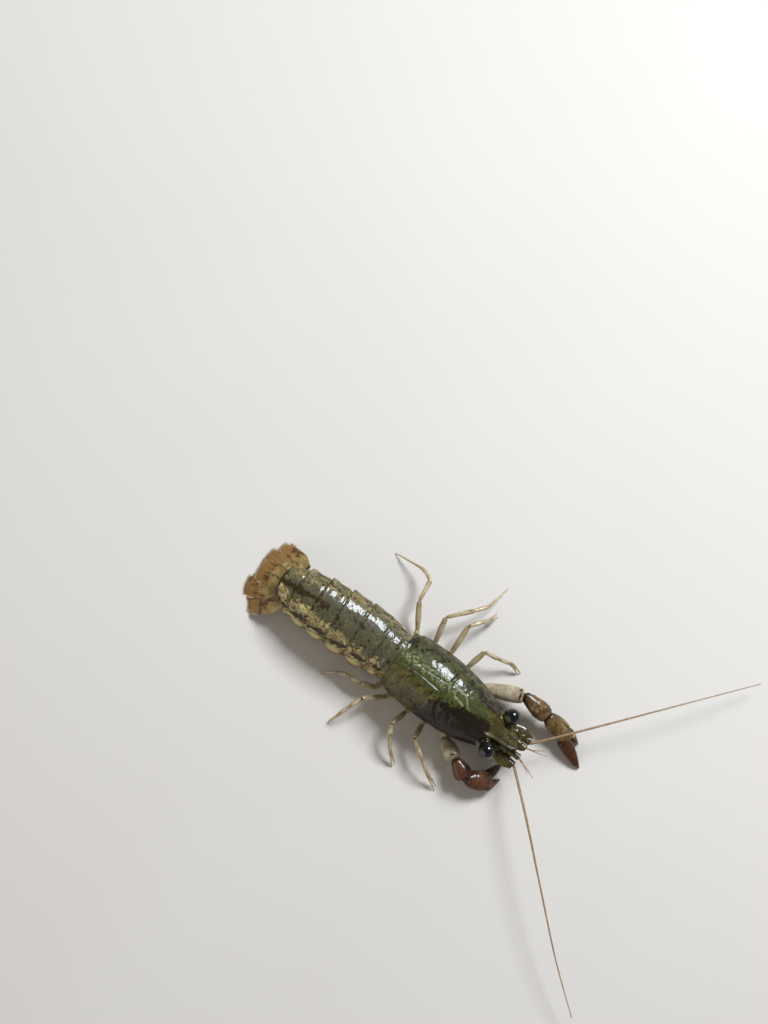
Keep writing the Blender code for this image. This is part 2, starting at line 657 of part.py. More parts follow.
def claw(side, word, places):
    """A claw in four nodes: arm, wrist, hand with its fixed finger, and movable finger."""
    root = Vector((CLAW_ROOT, side * (THORAX_HALF + 0.1 + JOINT_GAP), CLAW_ROOT_HEIGHT))
    elbow, arm_end = Vector(places["elbow"]), Vector(places["arm_end"])
    wrist_start, wrist_end = (Vector(p) for p in places["wrist"])
    hand_start, palm_end = (Vector(p) for p in places["hand"])
    fixed_tip, finger_tip = Vector(places["fixed_tip"]), Vector(places["finger_tip"])
    arm_run = (arm_end - elbow).normalized()
    wrist_run = (wrist_end - wrist_start).normalized()
    hand_run = (palm_end - hand_start).normalized()
    near_joint, far_joint = arm_run + wrist_run, wrist_run + hand_run

    spots = [root, elbow - Vector((0.12, 0.3 * side, 0)), elbow + arm_run * 0.25,
             between(elbow, arm_end, 0.55), arm_end - arm_run * 0.3, arm_end]  # fmt: skip
    sizes = [ARM[0], ARM[0], ARM[0] + 0.04, ARM[1] - 0.04, ARM[1], ARM[1] - 0.14]
    arm = loft(tube(spots, sizes, CLAW_SIDES, first=(0, side, 0), last=near_joint))
    finish(f"claw_arm_{word}", arm, "arm", 0.25)

    wide, high = WRIST
    spots = [between(wrist_start, wrist_end, t) for t in (0.0, 0.14, 0.42, 0.68, 0.88, 1.0)]
    sizes = [(wide * s, high * s) for s in (0.55, 0.78, 1.0, 1.0, 0.74, 0.5)]
    wrist = loft(tube(spots, sizes, CLAW_SIDES, first=near_joint, last=far_joint))
    finish(f"claw_wrist_{word}", wrist, "wrist", 0.25)

    wide, high = PALM
    inward = UP.cross(hand_run).normalized() * -side
    spots = [between(hand_start, palm_end, t) for t in (0.0, 0.16, 0.4, 0.62, 0.86, 1.0)]
    sizes = [(wide * w, high * h) for w, h in PALM_PROFILE]
    palm = loft(tube(spots, sizes, CLAW_SIDES, first=far_joint, last=hand_run))
    knuckle = palm_end - inward * FINGER_APART
    spots = [knuckle - hand_run * 0.6, knuckle, between(knuckle, fixed_tip, 0.6), fixed_tip]
    fixed_finger = loft(tube(spots, [0.3, 0.3, 0.25, FINGER_TIP], first=hand_run))
    hand = fuse([palm, fixed_finger])
    finish(f"claw_hand_{word}", on_floor(hand), "hand", 0.22)

    base = palm_end + inward * FINGER_APART + hand_run * JOINT_GAP
    finger_run = (finger_tip - base).normalized()
    spots = [base, base + (hand_run + finger_run) * 0.12, between(base, finger_tip, 0.5), finger_tip]
    finger = on_floor(loft(tube(spots, [0.26, 0.3, 0.27, FINGER_TIP], first=hand_run)))
    finish(f"claw_finger_{word}", finger, "finger", 0.2)


def eye(side, word):
    """A short stalk with the round cornea on its end."""
    centre, end = Vector(mirrored(EYE_CENTRE, side)), Vector(mirrored(STALK_END, side))
    stalk = loft(tube([end, between(end, centre, 0.9)], [0.27, 0.36], 8, up=(1, 0, 0)))
    finish(f"eye_{word}", fuse([ball(centre, EYE_RADIUS, 16, 10), stalk]), "eye", 0.06)


def curve_points(points, count):
    """Even points on a smooth curve through a route."""
    rows = [(float(k), *point) for k, point in enumerate(points)]
    return [Vector(hermite(rows, (len(points) - 1) * k / count)) for k in range(count + 1)]


def antenna(side, word, route):
    """The antenna's base with its scale, and the long feeler in front of it."""
    base = [mirrored(p, side) for p in PEDUNCLE]
    spots = [base[0], base[1], between(base[1], base[2], 0.08), between(base[1], base[2], 0.9), base[2]]
    peduncle = loft(tube(spots, [0.34, 0.4, 0.33, 0.34, 0.27], first=(1, 0, 0)))
    blade = tube([mirrored(p, side) for p in SCALE_BLADE], [(0.3, 0.25), (0.36, 0.25), (0.08, 0.1)])
    finish(f"antenna_base_{word}", fuse([peduncle, loft(blade)]), "head", 0.3)
    points = curve_points(route, FEELER_STEPS)
    thin = [0.62 * smooth_step(0.8, 1.0, k / FEELER_STEPS) for k in range(FEELER_STEPS + 1)]
    run = (Vector(base[2]) - Vector(base[1])).normalized()
    points[0] = Vector(base[2]) + run * JOINT_GAP
    feeler = tube(points, [FLAGELLUM_RADIUS * (1 - share) for share in thin], 6, first=run)
    finish(f"antenna_{word}", loft(feeler), "feeler", 0.3)


def antennule(side, word):
    """The short forked feeler between the antennae."""
    points = curve_points([mirrored(p, side) for p in ANTENNULE], 6)
    main_branch = loft(tube(points, [0.25, 0.26, 0.25, 0.25, 0.25, 0.2, 0.1], 6, first=(1, 0, 0)))
    points = curve_points([mirrored(p, side) for p in ANTENNULE_FORK], 4)
    second_branch = loft(tube(points, [0.2, 0.25, 0.25, 0.2, 0.1], 6))
    finish(f"antennule_{word}", fuse([main_branch, second_branch]), "feeler", 0.3)


def maxilliped(side, word):
    """A mouth leg that lies forward under the head."""
    limb = tube([mirrored(p, side) for p in MOUTH_LEG], [0.26, 0.28, 0.27, 0.26, 0.14], first=(1, 0, 0))
    finish(f"maxilliped_{word}", loft(limb), "mouth", 0.35)


def swimmerets(side, word):
    """A small paddle under each of the segments two to five."""
    run = 0.0
    for number, (length, half, _, drop, _) in enumerate(SEGMENTS, 1):
        if number in SWIMMERET_SEGMENTS:
            spot, along, left, up = tail_frame(run + length * 0.45)
            root = spot + left * side * half * 0.3 - up * (drop * STERNUM + JOINT_GAP)
            foot = root + left * side * 0.12 + along * 0.32 - UP * (root.z - 0.22)
            spots = [root, between(root, foot, 0.5), foot]
            paddle = tube(spots, [0.25, 0.25, 0.16], 6, up=(1, 0, 0), first=-up)
            finish(f"swimmeret_{number}_{word}", loft(paddle), "swimmeret", 0.4)
        run += length


def main():
    """Clears the scene and builds the animal from the shell outwards."""
    for item in list(bpy.data.objects):
        bpy.data.objects.remove(item)
    carapace()
    thorax()
    head()
    tail_fan(abdomen())
    for side, word, legs, places, route in (
        (1, "left", LEFT_LEGS, LEFT_CLAW, LEFT_FEELER),
        (-1, "right", RIGHT_LEGS, RIGHT_CLAW, RIGHT_FEELER),
    ):
        eye(side, word)
        antenna(side, word, route)
        antennule(side, word)
        maxilliped(side, word)
        claw(side, word, places)
        for number, leg in legs.items():
            walking_leg(number, side, word, leg)
        swimmerets(side, word)


main()
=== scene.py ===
"""Looks of a juvenile crayfish: wet mottled shell, jointed limbs, feelers and tail fan.

Places are body millimetres: X runs forward from the rear edge of the carapace, Y to the
animal's left and Z up from the floor. They become metres when a piece is finished.
"""

import logging
import math
import random
from collections.abc import Callable, Sequence
from dataclasses import dataclass, field
from enum import Enum

import bmesh
import bpy
from mathutils import Matrix, Vector, noise


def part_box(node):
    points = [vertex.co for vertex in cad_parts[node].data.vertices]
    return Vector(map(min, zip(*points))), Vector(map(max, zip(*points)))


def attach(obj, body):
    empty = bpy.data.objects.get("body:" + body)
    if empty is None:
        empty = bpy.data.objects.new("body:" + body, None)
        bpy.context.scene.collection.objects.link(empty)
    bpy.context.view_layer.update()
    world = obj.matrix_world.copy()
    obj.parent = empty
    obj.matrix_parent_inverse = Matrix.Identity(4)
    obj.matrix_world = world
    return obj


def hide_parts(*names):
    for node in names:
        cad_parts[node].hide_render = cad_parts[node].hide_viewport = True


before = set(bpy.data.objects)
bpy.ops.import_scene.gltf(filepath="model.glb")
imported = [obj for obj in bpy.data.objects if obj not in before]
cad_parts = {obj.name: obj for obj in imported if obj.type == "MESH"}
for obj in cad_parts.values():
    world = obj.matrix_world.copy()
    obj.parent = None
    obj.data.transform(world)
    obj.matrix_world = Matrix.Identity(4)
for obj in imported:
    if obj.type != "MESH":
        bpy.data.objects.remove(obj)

MM = 0.001
TURN = 2 * math.pi
UP = Vector((0.0, 0.0, 1.0))
WELD = 1e-4  # mm, under which two corners are one
CLEARANCE = 0.004  # mm, that a piece's lowest corners keep from the floor
CHITIN_IOR = 1.54
WATER_IOR = 1.33
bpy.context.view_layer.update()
SHELL_LOW, SHELL_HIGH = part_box("carapace")
ORIGIN = Vector((SHELL_LOW.x, (SHELL_LOW.y + SHELL_HIGH.y) / 2, 0.0))

Triple = tuple[float, float, float]
Shape = Callable[[float, float], Vector]
Paint = Callable[[float, float, Vector], Triple]
Sizes = Sequence[tuple[float, float]]
Socket = bpy.types.NodeSocket

logging.basicConfig(level=logging.INFO, format="%(message)s")
log = logging.getLogger("crayfish")


def hermite(table: Sequence[Sequence[float]], place: float) -> tuple[float, ...]:
    """Reads a smooth curve through a table.

    Args:
        table: Rows of a place and the values there, in rising order.
        place: Where to read it.

    Returns:
        The values at the place.
    """
    if place <= table[0][0]:
        return tuple(table[0][1:])
    if place >= table[-1][0]:
        return tuple(table[-1][1:])
    k = max(i for i in range(len(table) - 1) if table[i][0] <= place)
    here, there = table[k], table[k + 1]
    before, after = table[max(k - 1, 0)], table[min(k + 2, len(table) - 1)]
    span = there[0] - here[0]
    t = (place - here[0]) / span
    into, out = span / (there[0] - before[0]), span / (after[0] - here[0])
    return tuple(
        (2 * t**3 - 3 * t**2 + 1) * here[c]
        + (t**3 - 2 * t**2 + t) * (there[c] - before[c]) * into
        + (3 * t**2 - 2 * t**3) * there[c]
        + (t**3 - t**2) * (after[c] - here[c]) * out
        for c in range(1, len(here))
    )


def clamp(value: float) -> float:
    """The value, kept from 0 to 1."""
    return min(max(value, 0.0), 1.0)


def signed_power(value: float, power: float) -> float:
    """A power of the value's size, with the value's sign."""
    return math.copysign(abs(value) ** power, value)


def smooth_step(low: float, high: float, value: float) -> float:
    """Rises from 0 at low to 1 at high, level at both ends."""
    t = clamp((value - low) / (high - low))
    return t * t * (3 - 2 * t)


def hill(value: float, centre: float, width: float) -> float:
    """A smooth hill of height 1 round a centre."""
    return math.exp(-(((value - centre) / width) ** 2))


def between(start: Vector, end: Vector, share: float) -> Vector:
    """The point a share of the way from start to end."""
    return Vector(start).lerp(Vector(end), share)


def mirrored(point: Sequence[float], side: int) -> Vector:
    """A point of the left side, or its image on the right."""
    return Vector((point[0], point[1] * side, point[2]))


def mottle(point: Vector, grain: float, seed: float = 0.0) -> float:
    """Soft random values from 0 to 1 with patches of about the grain, in millimetres."""
    spot = point / grain + Vector((seed, seed * 1.7, -seed))
    return 0.5 + 0.5 * noise.fractal(spot, 1.0, 2.0, 3, noise_basis="PERLIN_ORIGINAL")


def cells(point: Vector, size: float) -> tuple[float, float]:
    """Irregular cells of about the size, in millimetres.

    Args:
        point: The place to look at.
        size: The cells' size.

    Returns:
        How close the place is to a cell's edge, and the cell's own random value, both 0 to 1.
    """
    near, spots = noise.voronoi(point / size)
    return 1 - smooth_step(0.04, 0.26, near[1] - near[0]), abs(noise.cell(spots[0] * 9.0))


def carried_frames(points: Sequence[Vector], up: Vector) -> list[tuple[Vector, Vector]]:
    """Carries an across and an up direction along a run of points without a twist.

    Args:
        points: The run.
        up: The side that is the first point's up.

    Returns:
        The across and up directions at each point.
    """
    last = len(points) - 1
    ways = [(points[min(k + 1, last)] - points[max(k - 1, 0)]).normalized() for k in range(last + 1)]
    across = Vector(up).cross(ways[0]).normalized()
    found = [(across, ways[0].cross(across))]
    for before, way in zip(ways, ways[1:]):
        across = before.rotation_difference(way) @ across
        across = (across - way * across.dot(way)).normalized()
        found.append((across, way.cross(across)))
    return found


def linear(code: str) -> tuple[float, float, float, float]:
    """Scene-linear red, green, blue and alpha of an sRGB hex colour."""
    parts = [int(code[i : i + 2], 16) / 255 for i in (1, 3, 5)]
    return (*(p / 12.92 if p < 0.04045 else ((p + 0.055) / 1.055) ** 2.4 for p in parts), 1.0)


def placed(name: str, data: bpy.types.ID) -> bpy.types.Object:
    """Puts a mesh, light or camera into the scene.

    Args:
        name: The object's name.
        data: What it shows.

    Returns:
        The new object.
    """
    item = bpy.data.objects.new(name, data)
    bpy.context.scene.collection.objects.link(item)
    return item


class Slot(Enum):
    """The record's material slots."""

    CARAPACE = "carapace_shell"
    HEAD = "head_shell"
    BELLY = "belly_shell"
    ABDOMEN = "abdomen_shell"
    FAN = "tail_fan"
    EYE = "eye_cornea"
    FEELER = "feeler"
    MOUTH = "mouth_limb"
    LEG = "leg_shell"
    ARM = "claw_arm"
    CLAW = "claw_shell"
    FINGER = "claw_finger"
    SWIMMERET = "swimmeret"


class NodeBench:
    """A new material and its node tree, measured in the model's millimetres."""

    def __init__(self, name: str) -> None:
        """Starts an empty tree. Object coordinates are metres, so they are scaled first."""
        self.material = bpy.data.materials.new(name)
        self.material.use_nodes = True
        self.tree = self.material.node_tree
        self.tree.nodes.clear()
        spot = self.add("ShaderNodeTexCoord").outputs["Object"]
        self.place = self.add("ShaderNodeMapping", {"Scale": (1 / MM,) * 3}, {"Vector": spot}).outputs[0]

    def add(self, kind: str, settings: dict | None = None, links: dict | None = None) -> bpy.types.Node:
        """Adds a node.

        Args:
            kind: The node's type.
            settings: Values for its properties, or for its inputs by name or number.
            links: Sockets that feed its inputs, by name or number.

        Returns:
            The new node.
        """
        node = self.tree.nodes.new(kind)
        for key, value in (settings or {}).items():
            if isinstance(key, str) and hasattr(node, key):
                setattr(node, key, value)
            else:
                node.inputs[key].default_value = value
        for key, socket in (links or {}).items():
            self.tree.links.new(socket, node.inputs[key])
        return node

    def clouds(self, size: float, detail: float, rough: float = 0.5, twist: float = 0.0) -> Socket:
        """Adds soft noise.

        Args:
            size: Size of its patches, in millimetres.
            detail: How many finer layers it has.
            rough: Strength of the finer layers.
            twist: How far the patches are twisted.

        Returns:
            Its value, from 0 to 1.
        """
        settings = {"Scale": 1 / size, "Detail": detail, "Roughness": rough, "Distortion": twist}
        return self.add("ShaderNodeTexNoise", settings, {"Vector": self.place}).outputs[0]

    def pits(self, size: float, **settings: float | str) -> Socket:
        """Distance from the middles of scattered cells of a size in millimetres."""
        settings["Scale"] = 1 / size
        return self.add("ShaderNodeTexVoronoi", settings, {"Vector": self.place}).outputs[0]

    def bump(self, height: Socket, strength: float, distance: float) -> Socket:
        """A normal bent by a relief whose height is given in millimetres."""
        settings = {"Strength": strength, "Distance": distance * MM}
        return self.add("ShaderNodeBump", settings, {"Height": height}).outputs[0]

    def scaled(self, value: Socket, factor: float, rest: float | Socket) -> Socket:
        """Multiplies a value and adds to it.

        Args:
            value: The value.
            factor: What it is multiplied by.
            rest: What is added, a number or a socket.

        Returns:
            The result.
        """
        settings, links = {"operation": "MULTIPLY_ADD", 1: factor}, {0: value}
        (settings if isinstance(rest, float) else links)[2] = rest
        return self.add("ShaderNodeMath", settings, links).outputs[0]

    def ramp(
        self,
        value: Socket,
        low: float,
        high: float,
        start: float = 0.0,
        end: float = 1.0,
        kind: str = "LINEAR",
    ) -> Socket:
        """Maps one range of values onto another.

        Args:
            value: The value.
            low: Where the first range starts.
            high: Where it ends.
            start: Where the second range starts.
            end: Where it ends.
            kind: The way between, LINEAR or SMOOTHSTEP.

        Returns:
            The mapped value.
        """
        settings = {"interpolation_type": kind, 1: low, 2: high, 3: start, 4: end}
        return self.add("ShaderNodeMapRange", settings, {0: value}).outputs[0]

    def mix(self, first: str | Socket, second: str, share: Socket) -> Socket:
        """Blends two colours.

        Args:
            first: A hex colour or a socket.
            second: A hex colour.
            share: How much of the second there is.

        Returns:
            The blended colour.
        """
        settings, links = {"data_type": "RGBA", 7: linear(second)}, {0: share}
        if isinstance(first, str):
            settings[6] = linear(first)
        else:
            links[6] = first
        return self.add("ShaderNodeMix", settings, links).outputs[2]

    def surface(self, settings: dict, links: dict) -> bpy.types.Material:
        """Ends the tree in a shader.

        Args:
            settings: The shader's values.
            links: Sockets that feed it.

        Returns:
            The finished material.
        """
        shader = self.add("ShaderNodeBsdfPrincipled", settings, links)
        self.add("ShaderNodeOutputMaterial", links={"Surface": shader.outputs[0]})
        return self.material


@dataclass(frozen=True)
class ShellFinish:
    """Crustacean shell: chitin hardened with lime, thin and a little clear, and wet here.

    Pigment lies in specks of 0.02 to 0.3 mm under a clear outer layer, so colours are
    mottled and soft at their edges. The water on it gives sharp, broken highlights.
    """

    name: str
    base: tuple[str, str]  # two colours that the ground drifts between
    dark: str
    pale: str
    tint: str
    grain: float = 0.3  # mm, size of the mottles
    speck: float = 0.06  # mm, size of the specks, drawn coarser than the finest
    pit: float = 0.1  # mm, size of the shell's fine pits
    ripple: float = 0.42  # mm, size of the ripples in the water on it
    veins: float = 0.5  # strength of the dark net of pigment
    roughness: float = 0.4
    wet: float = 1.0
    glow: float = 0.2  # how far light goes through the shell
    clear: float = 0.0  # share of the light that passes the shell unscattered
    relief: float = 0.005  # mm, height of the fine pits
    film: float = 0.026  # mm, height of the ripples
    ragged: float = 1.0  # how uneven the markings' edges are

    def material(self) -> bpy.types.Material:
        """Makes the material."""
        bench = NodeBench(self.name)
        bench.material.diffuse_color = linear(self.base[0])
        specks = bench.clouds(self.speck, 3.0, 0.6)
        grit = bench.scaled(specks, 0.4, bench.clouds(self.grain, 5.0, 0.6, 1.0))
        ragged = bench.scaled(grit, 2.0, -1.4)
        drift = bench.clouds(self.grain * 2.6, 3.0, 0.6, 0.6)
        colour = bench.mix(*self.base, bench.ramp(drift, 0.4, 0.62, kind="SMOOTHSTEP"))
        # The pigment lies in a net of fine branching threads
        ridge = bench.scaled(bench.clouds(self.grain * 1.5, 2.0, 0.6, 2.4), 1.0, -0.5)
        thread = bench.add("ShaderNodeMath", {"operation": "ABSOLUTE"}, {0: ridge}).outputs[0]
        net = bench.ramp(thread, 0.0, 0.055, self.veins, 0.0, "SMOOTHSTEP")
        marks = bench.add("ShaderNodeAttribute", {"attribute_name": "marks"}).outputs["Color"]
        masks = bench.add("ShaderNodeSeparateColor", links={"Color": marks}).outputs
        layers = (("Blue", self.tint, 0.6), ("Green", self.pale, 1.0), ("Red", self.dark, 0.8))
        for mask, code, sway in layers:
            if mask == "Green":
                colour = bench.mix(colour, self.dark, net)
            # The mottles make each marking's edge uneven, as pigment specks do
            edge = bench.scaled(ragged, sway * self.ragged, masks[mask])
            colour = bench.mix(colour, code, bench.ramp(edge, 0.25, 0.8, kind="SMOOTHSTEP"))
        pits = bench.pits(self.pit, feature="SMOOTH_F1", Smoothness=0.7)
        # Water stays on the upper faces as a film and runs off the steep sides
        facing = bench.add("ShaderNodeNewGeometry").outputs["Normal"]
        rise = bench.add("ShaderNodeSeparateXYZ", links={0: facing}).outputs["Z"]
        return bench.surface(
            {
                "IOR": CHITIN_IOR,
                "Specular IOR Level": 0.14,
                "Transmission Weight": self.clear,
                "Subsurface Weight": self.glow,
                "Subsurface Radius": (0.4, 0.33, 0.24),
                "Subsurface Scale": 0.4 * MM,
                "Coat Roughness": 0.04,
                "Coat IOR": WATER_IOR,
            },
            {
                "Base Color": colour,
                "Roughness": bench.ramp(specks, 0.0, 1.0, self.roughness - 0.1, self.roughness + 0.12),
                "Normal": bench.bump(pits, 0.8, self.relief),
                "Coat Weight": bench.ramp(rise, 0.4, 0.84, 0.15 * self.wet, self.wet),
                "Coat Normal": bench.bump(bench.clouds(self.ripple, 3.0, 0.6, 0.3), 1.0, self.film),
            },
        )


@dataclass(frozen=True)
class EyeFinish:
    """Cornea: clear, smooth chitin over black pigment, wet, so it mirrors like black glass."""

    name: str = "wet_black_cornea"
    colour: tuple[str, str] = ("#060707", "#14170f")
    facet: float = 0.035  # mm; the facets show only as a faint net in close views

    def material(self) -> bpy.types.Material:
        """Makes the material."""
        bench = NodeBench(self.name)
        colour = bench.mix(*self.colour, bench.ramp(bench.clouds(0.35, 3.0), 0.42, 0.75))
        facets = bench.bump(bench.pits(self.facet, Randomness=0.25), 0.25, 0.002)
        return bench.surface(
            {
                "IOR": 1.5,
                "Roughness": 0.22,
                "Specular IOR Level": 0.2,
                "Coat Weight": 1.0,
                "Coat Roughness": 0.04,
                "Coat IOR": 1.42,
            },
            {"Base Color": colour, "Normal": facets},
        )


@dataclass(frozen=True)
class BristleFinish:
    """Setae: hollow hairs of clear chitin, so they look pale gold and glow against light."""

    name: str = "pale_gold_setae"
    colour: tuple[str, str] = ("#dfba78", "#bd9150")

    def material(self) -> bpy.types.Material:
        """Makes the material."""
        bench = NodeBench(self.name)
        return bench.surface(
            {
                "IOR": CHITIN_IOR,
                "Roughness": 0.35,
                "Subsurface Weight": 0.5,
                "Subsurface Radius": (0.5, 0.4, 0.25),
                "Subsurface Scale": 0.3 * MM,
            },
            {"Base Color": bench.mix(*self.colour, bench.clouds(0.3, 2.0))},
        )


@dataclass(frozen=True)
class FloorFinish:
    """Matt pale board, smooth, with a barely seen drift of tone."""

    name: str = "matt_pale_board"
    colour: tuple[str, str] = ("#d9d3ca", "#d3ccc2")

    def material(self) -> bpy.types.Material:
        """Makes the material."""
        bench = NodeBench(self.name)
        colour = bench.mix(*self.colour, bench.clouds(25.0, 4.0))
        return bench.surface({"Roughness": 0.75}, {"Base Color": colour})


Finish = ShellFinish | EyeFinish | BristleFinish | FloorFinish

# Thick limy shell over dark organs: deep olive, nearly black on the right cheek
CARAPACE_SHELL = ShellFinish(
    "wet_olive_shell", ("#4b421c", "#655a30"), "#1c1406", "#878a66", "#484c25",
    grain=0.3, veins=0.6, glow=0.0, ragged=0.55,
)
# Thinner plates over pale muscle, so straw shows between the pigment
ABDOMEN_SHELL = ShellFinish(
    "wet_olive_grey_plates", ("#887748", "#9e8e5e"), "#33270f", "#c8b782", "#54513a",
    grain=0.3, veins=0.4, glow=0.0, ragged=0.6,
)
# Plates so thin that light comes through them as amber
FAN_SHELL = ShellFinish(
    "thin_amber_plates", ("#846d3e", "#9c8550"), "#53391a", "#c6b27c", "#8c6836",
    grain=0.36, glow=0.15, veins=0.3, ragged=0.5,
)
# Small hard pieces with crowded dark pigment
HEAD_SHELL = ShellFinish(
    "wet_head_shell", ("#403815", "#574b22"), "#1d150a", "#8d8258", "#553f1e",
    grain=0.22, veins=0.35, glow=0.0, ragged=0.7,
)
# Soft skin with little pigment, pale and matt
BELLY_SKIN = ShellFinish(
    "pale_straw_skin", ("#a18c5e", "#bda97a"), "#5a4828", "#cfc096", "#8c7a4c",
    grain=0.35, veins=0.15, glow=0.3, roughness=0.5,
)
# Glassy tubes of thin shell round pale flesh
LEG_SHELL = ShellFinish(
    "clear_straw_shell", ("#c2aa7a", "#d6c296"), "#6e5330", "#e6daba", "#9a7b48",
    grain=0.25, veins=0.25, glow=0.3, clear=0.5,
)
# As the legs, thicker and greyer
ARM_SHELL = ShellFinish(
    "clear_grey_tan_shell", ("#ad9c7e", "#c8b899"), "#3a2c1d", "#e2d6b8", "#8a6844",
    grain=0.25, veins=0.3, glow=0.2, clear=0.12, ragged=0.6,
)
# Hard shell with the dark net of pigment at its clearest
CLAW_SHELL = ShellFinish(
    "veined_brown_shell", ("#5f4627", "#7c5f37"), "#2a170a", "#ad9767", "#5c3823",
    grain=0.24, veins=0.9, glow=0.0, ragged=0.6,
)
# The hardest shell, tanned dark red-brown
FINGER_SHELL = ShellFinish(
    "dark_red_finger_shell", ("#402510", "#54321a"), "#1e0f06", "#cfb78c", "#583019",
    grain=0.2, veins=0.4, glow=0.0, ragged=0.6,
)
# Hair-thin rings, too slender to hold much pigment
FEELER_SHELL = ShellFinish(
    "thin_tan_feeler", ("#93795c", "#a98f72"), "#5a4024", "#cdb68c", "#7c5c36",
    grain=0.15, veins=0.1, wet=0.7, glow=0.2,
)
SETAE = BristleFinish()
CORNEA = EyeFinish()


class Wardrobe:
    """Makes each finish's material once."""

    made: dict[str, bpy.types.Material] = {}

    @classmethod
    def material(cls, finish: Finish) -> bpy.types.Material:
        """The material of a finish."""
        if finish.name not in cls.made:
            cls.made[finish.name] = finish.material()
        return cls.made[finish.name]


class Sided:
    """A part of one side of the animal: 1 is its left and -1 its right."""

    side: int

    @property
    def word(self) -> str:
        """The side's name."""
        return "left" if self.side > 0 else "right"


class Workpiece:
    """A mesh in body millimetres, made of bent grids, tubes, knobs and bristles."""

    def __init__(self, name: str) -> None:
        """Starts an empty mesh with a layer for its markings."""
        self.name = name
        self.bm = bmesh.new()
        self.marks = self.bm.verts.layers.float_color.new("marks")
        self.thin = self.bm.verts.layers.deform.verify()

    def sheet(
        self,
        columns: int,
        rows: int,
        shape: Shape,
        paint: Paint | None = None,
        keep: Callable[[float, float], bool] | None = None,
        slot: int = 0,
    ) -> list[bmesh.types.BMVert]:
        """Adds a grid, bends it and welds the edges that meet.

        Args:
            columns: Faces across.
            rows: Faces along.
            shape: The place for each share across and along.
            paint: The dark, pale and tinted share of the pigment there.
            keep: Tells the faces that stay, by their middle's shares.
            slot: The material's number.

        Returns:
            The corners of the sheet.
        """
        made = bmesh.ops.create_grid(self.bm, x_segments=columns, y_segments=rows, size=1.0)["verts"]
        faces = {face for vertex in made for face in vertex.link_faces}
        if keep:
            lost = []
            for face in faces:
                middle = face.calc_center_median()
                if not keep((middle.x + 1) / 2, (middle.y + 1) / 2):
                    lost.append(face)
            faces -= set(lost)
            bmesh.ops.delete(self.bm, geom=lost, context="FACES")
            made = [vertex for vertex in made if vertex.is_valid]
        for face in faces:
            face.material_index = slot
        for vertex in made:
            across, along = (vertex.co.x + 1) / 2, (vertex.co.y + 1) / 2
            vertex.co = shape(across, along)
            vertex[self.marks] = (*(paint(across, along, vertex.co) if paint else (0.0, 0.0, 0.0)), 1.0)
        bmesh.ops.remove_doubles(self.bm, verts=made, dist=WELD)
        return [vertex for vertex in made if vertex.is_valid]

    def tube(
        self,
        points: Sequence[Sequence[float]],
        sizes: Sizes,
        sides: int = 12,
        rows: int = 14,
        up: Vector = UP,
        blunt: tuple[float, float] = (1.0, 1.0),
        paint: Paint | None = None,
        slot: int = 0,
        swell: Callable[[float, float], float] | None = None,
        square: float = 1.0,
    ) -> None:
        """Adds a closed tube with rounded ends along a smooth run.

        Args:
            points: Places that the middle line passes.
            sizes: Half width and half height at each of them.
            sides: Faces round it.
            rows: Faces along it.
            up: The side of the tube that is up at its start.
            blunt: Length of each rounded end, as a share of the half width there.
            paint: The dark, pale and tinted share of the pigment.
            slot: The material's number.
            swell: A factor on the size for each share round and along.
            square: Under 1 makes the section boxy.
        """
        last = len(points) - 1
        table = [(i / last, *points[i], *sizes[i]) for i in range(last + 1)]
        length = sum((Vector(b) - Vector(a)).length for a, b in zip(points, points[1:]))
        stations = [(1 - math.cos(math.pi * k / rows)) / 2 * 0.6 + 0.4 * k / rows for k in range(rows + 1)]
        spots = [hermite(table, t) for t in stations]
        ways = carried_frames([Vector(s[:3]) for s in spots], up)
        caps = []
        for t, spot in zip(stations, spots):
            size = 1.0
            ends = ((t * length, blunt[0] * sizes[0][0]), ((1 - t) * length, blunt[1] * sizes[-1][0]))
            for reach, end in ends:
                if reach < end:
                    size = min(size, math.sqrt(max(1 - (1 - reach / end) ** 2, 0.0)))
            caps.append(size)
        caps[0] = caps[-1] = 0.0

        def shape(across: float, along: float) -> Vector:
            """Place of a corner."""
            k = round(along * rows)
            x, y, z, wide, high = spots[k]
            side, rise = ways[k]
            turn = TURN * across
            factor = caps[k] * (swell(across, along) if swell else 1.0)
            flat, tall = signed_power(math.cos(turn), square), signed_power(math.sin(turn), square)
            return Vector((x, y, z)) + side * wide * factor * flat + rise * high * factor * tall

        self.sheet(sides, rows, shape, paint, slot=slot)

    def knob(self, centre: Vector, radius: float, slot: int = 0, mark: Triple = (0.0, 0.0, 0.0)) -> None:
        """Adds a small round bump.

        Args:
            centre: Its middle.
            radius: Its radius.
            slot: The material's number.
            mark: Its dark, pale and tinted share of pigment.
        """
        made = bmesh.ops.create_icosphere(
            self.bm, subdivisions=1, radius=radius, matrix=Matrix.Translation(centre)
        )["verts"]
        self.colour(made, slot, mark)

    def bristle(self, root: Vector, tip: Vector, radius: float, slot: int = 1) -> None:
        """Adds a hair: a slim three-sided spike.

        Args:
            root: Where it stands.
            tip: Where it ends.
            radius: Its radius at the root.
            slot: The material's number.
        """
        axis = tip - root
        spin = UP.rotation_difference(axis).to_matrix().to_4x4()
        made = bmesh.ops.create_cone(
            self.bm,
            cap_ends=True,
            segments=3,
            radius1=radius,
            radius2=radius * 0.12,
            depth=axis.length,
            matrix=Matrix.Translation((root + tip) / 2) @ spin,
        )["verts"]
        self.colour(made, slot, (0.0, 0.0, 0.0))

    def colour(self, made: list[bmesh.types.BMVert], slot: int, mark: Triple) -> None:
        """Gives new corners their markings, and their faces a material.

        Args:
            made: The corners.
            slot: The material's number.
            mark: The dark, pale and tinted share of pigment.
        """
        for vertex in made:
            vertex[self.marks] = (*mark, 1.0)
            for face in vertex.link_faces:
                face.material_index = slot

